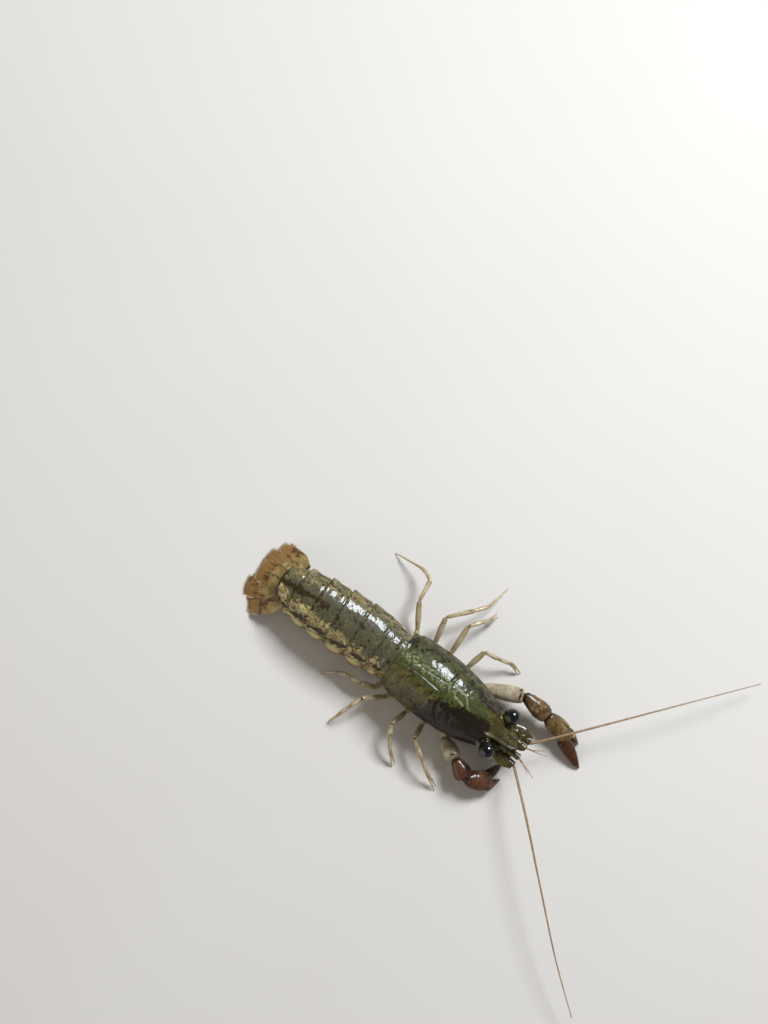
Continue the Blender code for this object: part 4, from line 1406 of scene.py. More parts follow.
@dataclass
class Claw(Sided):
    """A claw: arm, wrist, hand with its fixed finger, and movable finger."""

    side: int
    elbow: Triple
    arm_end: Triple
    wrist: tuple[Triple, Triple]
    hand: tuple[Triple, Triple]
    fixed_tip: Triple
    finger_tip: Triple
    # Red-brown tint of wrist and hand; the right claw's larger value is partly painted shade, darkening it
    # as though in shadow
    redness_and_shade: float
    stoutness: float  # of the movable finger
    root: Triple = (6.2, 1.05, 0.72)
    # Half widths and heights along each piece
    arm_sizes: Sizes = ((0.4, 0.36), (0.58, 0.48), (0.66, 0.55), (0.54, 0.48))
    wrist_sizes: Sizes = ((0.36, 0.36), (0.56, 0.5), (0.74, 0.58), (0.6, 0.5))
    hand_sizes: Sizes = (
        (0.4, 0.4), (0.68, 0.5), (0.78, 0.53), (0.72, 0.48), (0.36, 0.36), (0.24, 0.27), (0.05, 0.06),
    )
    finger_sizes: Sizes = ((0.48, 0.32), (0.56, 0.4), (0.5, 0.36), (0.3, 0.24), (0.05, 0.05))
    pincer: float = 0.36  # from the palm's middle to the fixed finger's

    def build(self) -> None:
        """Makes the four pieces of the claw."""
        self.make_arm()
        self.make_wrist()
        self.make_hand()
        self.make_finger()

    @property
    def hand_run(self) -> Vector:
        """Direction of the palm, from wrist to fingers."""
        return (Vector(self.hand[1]) - Vector(self.hand[0])).normalized()

    @property
    def inward(self) -> Vector:
        """Direction over the palm, from the fixed finger to the movable one."""
        return UP.cross(self.hand_run).normalized() * -self.side

    def make_arm(self) -> None:
        """Makes the arm: two short pieces at the root, then the long clear one."""
        root = mirrored(self.root, self.side)
        elbow, arm_end = Vector(self.elbow), Vector(self.arm_end)
        arm_run = (arm_end - elbow).normalized()

        def paint(u: float, v: float, point: Vector) -> Triple:
            """Clear grey-tan with a dark band near its end."""
            rough = mottle(point, 0.35, 2.0) - 0.5
            top = 0.5 + 0.5 * math.sin(TURN * u)
            dark = hill(v, 0.84, 0.09) * (0.15 + 0.75 * top * smooth_step(-0.25, 0.3, rough))
            dark += 0.4 * smooth_step(0.1, 0.3, rough)
            return clamp(dark), 0.5 * hill(v, 0.6, 0.12), 0.4 * hill(v, 1.0, 0.1)

        arm = Workpiece(f"claw_arm_shell_{self.word}")
        spots = [root, between(root, elbow, 0.6)]
        arm.tube(spots, [(0.34, 0.34), (0.36, 0.34)], 16, 14, paint=paint)
        spots = [between(root, elbow, 0.45), elbow + arm_run * 0.12]
        arm.tube(spots, [(0.3, 0.3), (0.36, 0.36)], 16, 14, paint=paint)
        inner = [between(elbow, arm_end, share) for share in (0.35, 0.75)]
        spots = [elbow - arm_run * 0.05, *inner, arm_end + arm_run * 0.02]
        arm.tube(spots, self.arm_sizes, 22, 30, paint=paint, square=0.9, blunt=(1.0, 0.4))
        for share in (0.45, 0.62, 0.8):
            spine = between(elbow, arm_end, share) + arm_run.cross(UP) * self.side * 0.34 - UP * 0.2
            arm.knob(spine, 0.06, mark=(0.2, 0.3, 0.0))
        arm.finish([ARM_SHELL, SETAE], Slot.ARM, [f"claw_arm_{self.word}"])

    def make_wrist(self) -> None:
        """Makes the wrist, with thorns on its inner side and the joints at its ends."""
        arm_end, hand_start = Vector(self.arm_end), Vector(self.hand[0])
        wrist_start, wrist_end = (Vector(p) for p in self.wrist)
        wrist_run = (wrist_end - wrist_start).normalized()
        # The claw's redness tints the wrist and dims its pale patches; on the right claw it is partly
        # painted shade
        red = self.redness_and_shade

        def paint(u: float, v: float, point: Vector) -> Triple:
            """Olive-brown between two dark bands, with pale patches."""
            rough = mottle(point, 0.3, 6.0) - 0.5
            bands = 1 - smooth_step(0.1, 0.2, v) * (1 - smooth_step(0.84, 0.92, v))
            pale = 0.6 * hill(v, 0.5, 0.25) * smooth_step(-0.05, 0.2, -rough)
            return clamp(0.9 * bands + 0.5 * smooth_step(0.05, 0.25, rough)), pale * (1.2 - red), red

        wrist = Workpiece(f"claw_wrist_shell_{self.word}")
        wide = wrist_run.cross(UP).normalized() * self.side
        far = wrist_end + wrist_run * 0.16
        inner = [between(wrist_start, far, share) for share in (0.2, 0.62)]
        wrist.tube(
            [wrist_start - wrist_run * 0.3, *inner, far],
            self.wrist_sizes, 26, 34, paint=paint, square=0.86, blunt=(0.5, 0.3),
            swell=lambda u, v: 1 - 0.05 * hill(v, 0.13, 0.03) - 0.04 * hill(v, 0.88, 0.025),
        )
        for share, size, reach in ((0.5, 0.09, 0.1), (0.78, 0.13, 0.18)):
            root = between(wrist_start, wrist_end, share) - wide * 0.6
            wrist.bristle(root, root - wide * reach + wrist_run * reach, size, slot=0)
        self.tubercles(wrist, wrist_start, wrist_end, 0.66, 0.5, wide)
        wrist.knob(between(arm_end, wrist_start, 0.6), 0.36, mark=(0.5, 0.2, 0.5))
        wrist.knob(between(wrist_end, hand_start, 0.6), 0.44, mark=(0.9, 0.0, 0.5))
        wrist.finish([CLAW_SHELL], Slot.CLAW, [f"claw_wrist_{self.word}"])

    def make_hand(self) -> None:
        """Makes the palm with the fixed finger, its teeth and its bumps."""
        hand_start, palm_end = (Vector(p) for p in self.hand)
        # The claw's redness tints the hand and dims its pale patches; on the right claw it is partly painted
        # shade
        hand_run, inward, red = self.hand_run, self.inward, self.redness_and_shade

        def paint(u: float, v: float, point: Vector) -> Triple:
            """Olive-tan with dark veins, a pale rim at the palm's end and a red-brown finger."""
            veins = abs(noise.noise(point * 1.7 + Vector((3.0, 1.0, 5.0))))
            rough = mottle(point, 0.3, 1.0) - 0.5
            dark = 0.6 * (1 - smooth_step(0.02, 0.12, veins)) + 0.9 * (1 - smooth_step(0.05, 0.13, v))
            dark += 0.5 * smooth_step(0.74, 0.8, v) * (0.7 + rough)
            pale = 0.45 * smooth_step(0.1, 0.35, veins) * hill(v, 0.35, 0.2) + 0.8 * hill(v, 0.68, 0.03)
            pale = pale * (1.2 - red) + 0.8 * smooth_step(0.975, 1.0, v)
            return clamp(dark), clamp(pale), max(red, smooth_step(0.7, 0.78, v))

        hand = Workpiece(f"claw_hand_shell_{self.word}")
        knuckle = palm_end - inward * self.pincer
        fixed_tip = Vector(self.fixed_tip) + UP * 0.04
        palm = [between(hand_start, palm_end, share) for share in (0.22, 0.62)]
        spots = [hand_start - hand_run * 0.25, *palm, palm_end - hand_run * 0.1]
        spots += [knuckle + hand_run * 0.14, between(knuckle, fixed_tip, 0.55), fixed_tip]
        hand.tube(spots, self.hand_sizes, 28, 60, paint=paint, square=0.88, blunt=(0.6, 1.0))
        self.tubercles(hand, hand_start, palm_end, 0.72, 0.45, -inward)
        for k in range(7):
            spot = between(hand_start, palm_end, 0.1 + 0.13 * k)
            spot += inward * (0.66 + 0.1 * math.sin(math.pi * k / 6))
            hand.knob(spot + UP * 0.1, 0.08 - 0.004 * k, mark=(0.0, 0.5, 0.2))
        for k in range(6):
            spot = between(knuckle, fixed_tip, 0.16 + 0.14 * k) + inward * (0.27 - 0.035 * k)
            hand.knob(spot, 0.06 - 0.005 * k, mark=(0.0, 0.6, 0.2))
        hand.knob(palm_end + inward * self.pincer - hand_run * 0.02, 0.3, mark=(0.6, 0.0, 0.9))
        self.tufts(hand, knuckle, fixed_tip, 0.26, inward)
        hand.finish([CLAW_SHELL, SETAE], Slot.CLAW, [f"claw_hand_{self.word}"])

    def make_finger(self) -> None:
        """Makes the movable finger with its teeth."""
        palm_end, hand_run, inward = Vector(self.hand[1]), self.hand_run, self.inward

        def paint(u: float, v: float, point: Vector) -> Triple:
            """Dark red-brown with a pale tip."""
            rough = mottle(point, 0.25, 3.0) - 0.5
            dark = 0.5 * smooth_step(-0.05, 0.15, rough) + 0.5 * hill(v, 0.0, 0.08)
            return clamp(dark), smooth_step(0.93, 0.985, v), 0.6 * hill(v, 0.5, 0.3)

        def grooves(u: float, v: float) -> float:
            """A fine groove along each side of the finger's upper face."""
            turn = (u - 0.25) % 1.0
            return 1 - 0.05 * hill(turn, 0.08, 0.03) - 0.05 * hill(turn, 0.92, 0.03)

        finger = Workpiece(f"claw_finger_shell_{self.word}")
        base = palm_end + inward * 0.4 - hand_run * 0.04
        tip = Vector(self.finger_tip) + UP * 0.04
        bow = inward * -0.04
        bowed = [between(base, tip, share) + bow for share in (0.12, 0.45)]
        spots = [base, *bowed, between(base, tip, 0.78), tip]
        sizes = [(self.stoutness * wide, self.stoutness * high) for wide, high in self.finger_sizes]
        finger.tube(
            spots, sizes, 22, 44, paint=paint, blunt=(0.5, 1.0), square=0.92, swell=grooves
        )
        for k in range(6):
            spot = between(base, tip, 0.2 + 0.12 * k) - inward * (0.46 - 0.05 * k) * self.stoutness
            finger.knob(spot, 0.055 - 0.004 * k, mark=(0.0, 0.5, 0.0))
        self.tufts(finger, base, tip, 0.26, inward)
        finger.lay_down()
        finger.finish([FINGER_SHELL, SETAE], Slot.FINGER, [f"claw_finger_{self.word}"])

    @staticmethod
    def tubercles(
        work: Workpiece, start: Vector, end: Vector, wide: float, high: float, lie: Vector
    ) -> None:
        """Scatters low rounded bumps over the upper face of a claw piece.

        Args:
            work: The piece.
            start: Where its upper face starts.
            end: Where it ends.
            wide: Half its width.
            high: Half its height.
            lie: The direction over its width.
        """
        draw = random.Random(f"bumps{work.name}")
        for _ in range(46):
            turn = draw.uniform(0.15, math.pi - 0.15)
            share = draw.uniform(0.12, 0.92)
            bend = math.sin(math.pi * (0.2 + 0.6 * share)) ** 0.5
            flat, tall = signed_power(math.cos(turn), 0.88), math.sin(turn) ** 0.88
            spot = between(start, end, share) + (lie * wide * flat + UP * high * tall) * bend * 0.97
            size = draw.uniform(0.025, 0.045)
            work.knob(spot, size, mark=(draw.uniform(0, 0.5), draw.uniform(0, 0.6), 0.2))

    def tufts(self, work: Workpiece, start: Vector, end: Vector, radius: float, lie: Vector) -> None:
        """Adds short bristles in small tufts along a finger.

        Args:
            work: The piece.
            start: Where the finger starts.
            end: Its tip.
            radius: Its radius at the start.
            lie: A direction across it.
        """
        draw = random.Random(f"{work.name}{self.word}")
        run = (end - start).normalized()
        for k in range(7):
            middle = between(start, end, 0.12 + 0.12 * k)
            for _ in range(4):
                out = Matrix.Rotation(draw.uniform(0, TURN), 3, run) @ lie
                root = middle + out * radius * (0.92 - 0.09 * k)
                tip = root + (out * 0.7 + run * 0.9) * draw.uniform(0.1, 0.18)
                if root.z > 0.03 and tip.z > 0.02:
                    work.bristle(root, tip, 0.01)


@dataclass
class Eye(Sided):
    """A black cornea on a short mottled stalk."""

    side: int
    radius: float = 0.64
    stalk_root: Triple = (9.0, 0.72, 3.16)
    stalk_radius: float = 0.56

    def build(self) -> None:
        """Makes the eye and its stalk."""
        radius = self.radius
        low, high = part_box(f"eye_{self.word}")
        centre = Vector(((high.x - ORIGIN.x) / MM - radius, 0.0, (high.z - ORIGIN.z) / MM - radius))
        edge = high.y if self.side > 0 else low.y
        centre.y = (edge - ORIGIN.y) / MM - self.side * radius
        root = mirrored(self.stalk_root, self.side)
        out = (centre - root).normalized()
        spin = UP.rotation_difference(out).to_matrix().to_4x4()
        work = Workpiece(f"eye_ball_{self.word}")
        made = bmesh.ops.create_uvsphere(
            work.bm, u_segments=48, v_segments=32, radius=radius, matrix=Matrix.Translation(centre) @ spin
        )["verts"]
        work.colour(made, 0, (0.0, 0.0, 0.0))

        def paint(u: float, v: float, point: Vector) -> Triple:
            """Olive with dark mottles, a dark rim against the cornea, and painted shade on the right stalk.
            """
            rough = mottle(point, 0.2, 2.0) - 0.5
            rim = smooth_step(0.9, 1.0, v)
            # The right stalk is painted darker: painted shade for the shadow it lies in, over the stalks'
            # own dark pigment
            pigment_and_shade = 0.2 if self.side > 0 else 0.75
            dark = pigment_and_shade + 0.7 * rim + 0.5 * smooth_step(0.05, 0.25, rough)
            return dark, 0.3 * hill(v, 0.75, 0.12) * (1 - rim), 0.0

        def cup(u: float, v: float) -> Vector:
            """The stalk widens to a cup that holds the rear of the ball."""
            turn = TURN * u
            side = Matrix.Rotation(turn, 3, out) @ out.orthogonal().normalized()
            if v < 0.5:
                share = v / 0.5
                back = centre - out * radius
                return root.lerp(back, share) + side * (self.stalk_radius - 0.04 * share**2)
            swing = math.radians(152 - 42 * (v - 0.5) / 0.5)
            shell = radius + 0.03 * (1 - smooth_step(0.85, 1.0, v)) + 0.004
            return centre + out * shell * math.cos(swing) + side * shell * math.sin(swing)

        work.sheet(32, 26, cup, paint, slot=1)
        work.finish([CORNEA, HEAD_SHELL], Slot.EYE, [f"eye_{self.word}"])


@dataclass
class Feelers(Sided):
    """The two pairs of feelers on one side, each with its jointed base."""

    side: int
    route: Sequence[Triple]
    base: Sequence[Triple] = ((10.2, 0.92, 2.3), (11.2, 1.02, 2.36), (12.1, 1.16, 2.4))
    scale_blade: Sequence[Triple] = ((10.3, 1.2, 2.62), (11.2, 1.36, 2.66), (12.0, 1.4, 2.6))
    antennule_base: Sequence[Triple] = ((10.1, 0.42, 2.86), (12.0, 0.42, 2.94))
    outer_branch: Sequence[Triple] = ((11.9, 0.46, 2.92), (12.8, 0.68, 2.9), (13.9, 1.0, 2.7))
    inner_branch: Sequence[Triple] = ((11.9, 0.4, 2.98), (12.5, 0.62, 3.1), (13.3, 1.15, 3.45))
    ring_length: float = 0.16
    radii: tuple[float, float] = (0.15, 0.04)  # of the long feeler, at its root and tip
    branch_radii: tuple[float, float] = (0.08, 0.022)

    def ringed(self, work: Workpiece, points: Sequence[Triple], start: float, end: float) -> None:
        """Adds a ringed feeler.

        Args:
            work: The mesh to add it to.
            points: Places that it passes.
            start: Radius at its root.
            end: Radius at its tip.
        """
        count = 24
        table = [(i / (len(points) - 1), *p) for i, p in enumerate(points)]
        run = [Vector(hermite(table, k / count)) for k in range(count + 1)]
        length = sum((b - a).length for a, b in zip(run, run[1:]))
        rings = max(round(length / self.ring_length), 8)
        rows = rings * 3
        spots = [Vector(hermite(table, k / rows)) for k in range(rows + 1)]
        ways = carried_frames(spots, UP)

        def shape(u: float, v: float) -> Vector:
            """Place of a corner: each ring widens to its front edge."""
            k = round(v * rows)
            radius = (start + (end - start) * v**0.8) * (0.92, 1.0, 1.03)[k % 3]
            if k in (0, rows):
                radius = 0.0
            across, rise = ways[k]
            return spots[k] + (across * math.cos(TURN * u) + rise * math.sin(TURN * u)) * radius

        def paint(u: float, v: float, point: Vector) -> Triple:
            """Tan, darker at the rings' edges."""
            k = round(v * rows)
            dark = (0.4 if k % 3 == 0 else 0.0) + 0.3 * (mottle(point, 1.2, 3.0) - 0.4)
            return dark, 0.4 * smooth_step(0.6, 1.0, v), 0.0

        work.sheet(8, rows, shape, paint)

    @staticmethod
    def stem_paint(across: float, along: float, point: Vector) -> Triple:
        """Olive, darker at the joints."""
        rough = mottle(point, 0.25, 7.0) - 0.5
        dark = 0.5 * (hill(along, 0.0, 0.12) + hill(along, 1.0, 0.08))
        return dark + 0.5 * smooth_step(0.05, 0.25, rough), 0.3 * hill(along, 0.5, 0.2), 0.3

    def build(self) -> None:
        """Makes both feelers."""
        self.antenna()
        self.antennule()

    def antenna(self) -> None:
        """Makes the long feeler, and its base with the scale beside it."""
        base = [mirrored(p, self.side) for p in self.base]
        table = [(k / 2, *spot) for k, spot in enumerate(base)]
        work = Workpiece(f"antenna_base_shell_{self.word}")
        for start, end, size in ((0.0, 0.36, 0.52), (0.32, 0.68, 0.43), (0.62, 1.0, 0.34)):
            spots = [Vector(hermite(table, t)) for t in (start, end)]
            work.tube(
                [spots[0], between(*spots, 0.6), spots[1]],
                [(size * 0.86, size * 0.8), (size, size * 0.92), (size * 1.02, size * 0.94)],
                20, 18, paint=self.stem_paint, blunt=(0.4, 0.22), square=0.92,
            )
        blade = [mirrored(p, self.side) for p in self.scale_blade]
        sizes = [(0.36, 0.14), (0.42, 0.1), (0.08, 0.05)]
        work.tube(blade, sizes, 22, 30, paint=self.stem_paint, blunt=(0.5, 0.5))
        # The scale's outer edge ends in a thorn, and hairs stand along its inner edge
        root = between(blade[1], blade[2], 0.2) + mirrored((0, 0.26, 0), self.side)
        work.bristle(root, blade[2] + mirrored((0.22, 0.08, 0), self.side), 0.06, slot=0)
        draw = random.Random(f"scale{self.word}")
        count = 34
        for k in range(count):
            share = 0.15 + 0.85 * k / count
            root = between(blade[0], blade[2], share)
            root -= mirrored((0, 0.3 * math.sin(math.pi * share), 0), self.side)
            lean = Vector((0.26, -self.side * 0.12, draw.uniform(-0.03, 0.05)))
            work.bristle(root, root + lean * draw.uniform(0.8, 1.2), 0.01)
        work.finish([HEAD_SHELL, SETAE], Slot.HEAD, [f"antenna_base_{self.word}"])

        work = Workpiece(f"antenna_feeler_{self.word}")
        start = base[2] - (base[2] - base[1]).normalized() * 0.1
        self.ringed(work, [start, *self.route], *self.radii)
        work.finish([FEELER_SHELL], Slot.FEELER, [f"antenna_{self.word}"])

    def antennule(self) -> None:
        """Makes the short feeler: three joints and two branches."""
        work = Workpiece(f"antennule_feeler_{self.word}")
        first, second = (mirrored(p, self.side) for p in self.antennule_base)
        for start, end, size in ((0.0, 0.5, 0.42), (0.46, 0.78, 0.36), (0.74, 1.04, 0.28)):
            work.tube(
                [between(first, second, start), between(first, second, end)],
                [(size * 0.9, size * 0.85), (size, size * 0.95)],
                18, 14, paint=self.stem_paint, blunt=(0.4, 0.25), slot=1,
            )
        for branch in (self.outer_branch, self.inner_branch):
            self.ringed(work, [mirrored(p, self.side) for p in branch], *self.branch_radii)
        work.finish([FEELER_SHELL, HEAD_SHELL], Slot.FEELER, [f"antennule_{self.word}"])


@dataclass
class Head:
    """The front of the head below the rostrum, and the mouth limbs."""

    # Forms on each side: places, half widths and heights, faces round and along. They are the
    # pad that the eye stalk stands on, the lobe under the long feeler and the jaw behind it
    lobes: Sequence[tuple] = (
        (
            ((8.3, 0.8, 3.0), (9.3, 0.86, 3.0), (10.5, 0.72, 2.82)),
            ((0.5, 0.4), (0.56, 0.42), (0.46, 0.36)), 20, 20,
        ),
        (((9.9, 0.95, 1.95), (10.6, 1.0, 1.9)), ((0.42, 0.4), (0.3, 0.3)), 16, 14),
        (((9.0, 0.75, 1.62), (9.75, 0.34, 1.5)), ((0.42, 0.36), (0.24, 0.3)), 16, 14),
    )
    limb: Sequence[Triple] = (
        (7.2, 0.5, 0.95), (8.0, 0.55, 0.9), (8.9, 0.62, 0.95), (9.5, 0.62, 0.85), (9.9, 0.52, 0.5),
    )
    limb_sizes: Sequence[float] = (0.27, 0.25, 0.22, 0.17)

    @staticmethod
    def paint(across: float, along: float, point: Vector) -> Triple:
        """Olive above, paler below."""
        rough = mottle(point, 0.3, 4.0) - 0.5
        high = smooth_step(2.0, 2.9, point.z)
        return 0.1 * high + 0.5 * smooth_step(0.05, 0.25, rough), 0.6 * (1 - high), 0.2

    def build(self) -> None:
        """Makes the head and both mouth limbs."""
        work = Workpiece("head_front")
        work.tube(
            [(7.3, 0, 2.2), (8.2, 0, 2.3), (9.6, 0, 2.3), (10.45, 0, 2.3)],
            [(1.0, 0.6), (1.3, 0.85), (1.22, 0.82), (0.9, 0.62)],
            40, 40, paint=self.paint, square=0.72, blunt=(0.4, 0.45),
        )
        for side in (1, -1):
            for spots, sizes, sides, rows in self.lobes:
                work.tube([mirrored(p, side) for p in spots], sizes, sides, rows, paint=self.paint)
        work.tube([(9.9, 0, 1.75), (10.35, 0, 1.9)], [(0.32, 0.22), (0.24, 0.2)], 14, 12, paint=self.paint)
        work.finish([HEAD_SHELL], Slot.HEAD, ["head"])
        self.mouth_limb(1, "left")
        self.mouth_limb(-1, "right")

    def mouth_limb(self, side: int, word: str) -> None:
        """Makes a mouth limb: four joints with hairs on the inner side.

        Args:
            side: 1 for the left, -1 for the right.
            word: The side's name.
        """
        limb = Workpiece(f"mouth_limb_{word}")
        spots = [mirrored(p, side) for p in self.limb]
        for k, size in enumerate(self.limb_sizes):
            limb.tube(
                [between(spots[k], spots[k + 1], -0.06), between(spots[k], spots[k + 1], 1.05)],
                [(size, size * 0.8), (size * 0.9, size * 0.75)], 14, 14, paint=self.paint,
            )
        draw = random.Random(word)
        for _ in range(60):
            share = draw.uniform(0, 1)
            k = min(int(share * 4), 3)
            root = between(spots[k], spots[k + 1], share * 4 - k) - Vector((0, side * 0.18, 0.05))
            lean = Vector((0.12, -side * 0.2, draw.uniform(-0.12, 0.04)))
            limb.bristle(root, root + lean, 0.009)
        limb.finish([BELLY_SKIN, SETAE], Slot.MOUTH, [f"maxilliped_{word}"])


@dataclass
class Flesh:
    """The soft body under the plates: breast, leg roots and the belly of the abdomen."""

    abdomen: Abdomen
    leg_roots: Sequence[float] = (0.85, 2.15, 3.45, 4.75, 6.2)

    @staticmethod
    def paint(across: float, along: float, point: Vector) -> Triple:
        """Pale straw, darker towards the back."""
        rough = mottle(point, 0.5, 6.0) - 0.5
        return 0.5 * smooth_step(2.2, 3.4, point.z) + 0.35 * smooth_step(0.05, 0.3, rough), 0.3, 0.0

    @staticmethod
    def limb_paint(across: float, along: float, point: Vector) -> Triple:
        """Pale straw, darker at the root."""
        return 0.4 * hill(along, 0.0, 0.15), 0.4, 0.0

    def build(self) -> None:
        """Makes the soft body, and the swimmerets under it."""
        work = Workpiece("soft_body")
        self.breast(work)
        self.belly(work)
        work.finish([BELLY_SKIN], Slot.BELLY, ["thorax"])
        self.swimmerets()

    def breast(self, work: Workpiece) -> None:
        """Adds the breast, its plates and keel, the gill chambers and the leg roots."""
        work.tube(
            [(-0.2, 0, 1.2), (0.6, 0, 0.95), (3.0, 0, 0.9), (6.0, 0, 0.92), (7.4, 0, 1.3), (8.0, 0, 1.9)],
            [(0.7, 0.6), (0.86, 0.62), (0.92, 0.62), (0.94, 0.64), (0.95, 0.7), (0.9, 0.6)],
            40, 80, paint=self.paint, square=0.8,
            swell=lambda u, v: 1 + 0.03 * math.cos(v * TURN * 6.2),
        )
        # Between the leg roots the breast has a pair of low plates to each segment, meeting in a keel
        work.tube(
            [(0.4, 0, 0.42), (6.6, 0, 0.42)], [(0.12, 0.2), (0.12, 0.2)], 12, 40, paint=self.paint,
            swell=lambda u, v: 1 + 0.25 * math.cos(v * TURN * 5),
        )
        # The gill chambers' inner wall closes the space between the breast and the shell
        work.tube(
            [(0.15, 0, 2.6), (2.5, 0, 2.85), (6.0, 0, 2.9), (8.4, 0, 2.7)],
            [(1.7, 1.25), (2.2, 1.5), (2.15, 1.5), (1.5, 1.0)], 32, 40, paint=self.paint,
        )
        for side in (1, -1):
            for place in self.leg_roots:
                size = 0.42 if place < 6 else 0.48
                sizes = [(size, size * 0.95), (size * 1.05, size), (size * 0.8, size * 0.8)]
                work.tube(
                    [(place, side * 0.55, 0.68), (place, side * 0.95, 0.72), (place, side * 1.3, 0.8)],
                    sizes, 18, 16, paint=self.paint, swell=lambda u, v: 1 - 0.12 * hill(v, 0.62, 0.05),
                )
                for front in (-0.2, 0.2):
                    work.tube(
                        [(place + front, side * 0.6, 0.36), (place + 0.4 * front, side * 0.06, 0.31)],
                        [(0.15, 0.12), (0.12, 0.1)], 12, 10, paint=self.paint,
                    )

    def belly(self, work: Workpiece) -> None:
        """Adds the flesh that fills the abdomen's plates."""
        total = self.abdomen.total
        # Half width, height over the axis and depth under it
        table = ((0.0, 1.7, 1.6, 0.7), (total * 0.6, 1.85, 1.5, 0.95), (total, 1.05, 0.9, 0.5))
        spots, sizes = [], []
        for k in range(13):
            run = -0.5 + (total + 0.6) * k / 12
            spot, _, _, up = self.abdomen.frame(run)
            half, over, under = hermite(table, run)
            spots.append(spot + up * (over - under) / 2)
            sizes.append((half, (over + under) / 2))
        work.tube(
            spots, sizes, 40, 96, paint=self.paint, square=0.85, blunt=(0.3, 0.4),
            swell=lambda u, v: 1 - 0.03 * abs(math.sin(v * math.pi * 12)),
        )

    def swimmerets(self) -> None:
        """Makes a pair of swimmerets under each of the second to fifth segments."""
        run = 0.0
        for number, (length, half, _, drop, _) in enumerate(self.abdomen.segments, 1):
            if number in (2, 3, 4, 5):
                spot, along, left, up = self.abdomen.frame(run + length * 0.45)
                for side, word in ((1, "left"), (-1, "right")):
                    root = spot + left * side * half * 0.3 - up * (drop * 0.62 + 0.05)
                    foot = root + left * side * 0.12 + along * 0.6 - UP * (root.z - 0.26)
                    self.swimmeret(number, word, root, foot, left * side, along)
            run += length

    def swimmeret(
        self, number: int, word: str, root: Vector, foot: Vector, out: Vector, along: Vector
    ) -> None:
        """Makes a swimmeret: a short stem with two fringed blades.

        Args:
            number: Its segment.
            word: Its side's name.
            root: Where it stands.
            foot: Where its blades end.
            out: The direction away from the middle.
            along: The direction to the tail.
        """
        work = Workpiece(f"swimmeret_limb_{number}_{word}")
        knee = between(root, foot, 0.42)
        work.tube([root, knee], [(0.2, 0.16), (0.17, 0.13)], 12, 12, up=along, paint=self.limb_paint)
        draw = random.Random(f"{number}{word}")
        for way, lean in ((out, 0.14), (-out, 0.12)):
            end = foot + way * lean
            spots, sizes = [knee, between(knee, end, 0.55), end], [(0.1, 0.06), (0.17, 0.06), (0.07, 0.03)]
            work.tube(spots, sizes, 12, 14, up=along, paint=self.limb_paint)
            for _ in range(34):
                spot = between(knee, end, draw.uniform(0.35, 1.0))
                tip = spot + (end - knee).normalized() * 0.2 + way * draw.uniform(-0.16, 0.2)
                tip.z = max(tip.z, 0.03)
                work.bristle(spot, tip, 0.008)
        work.finish([BELLY_SKIN, SETAE], Slot.SWIMMERET, [f"swimmeret_{number}_{word}"])


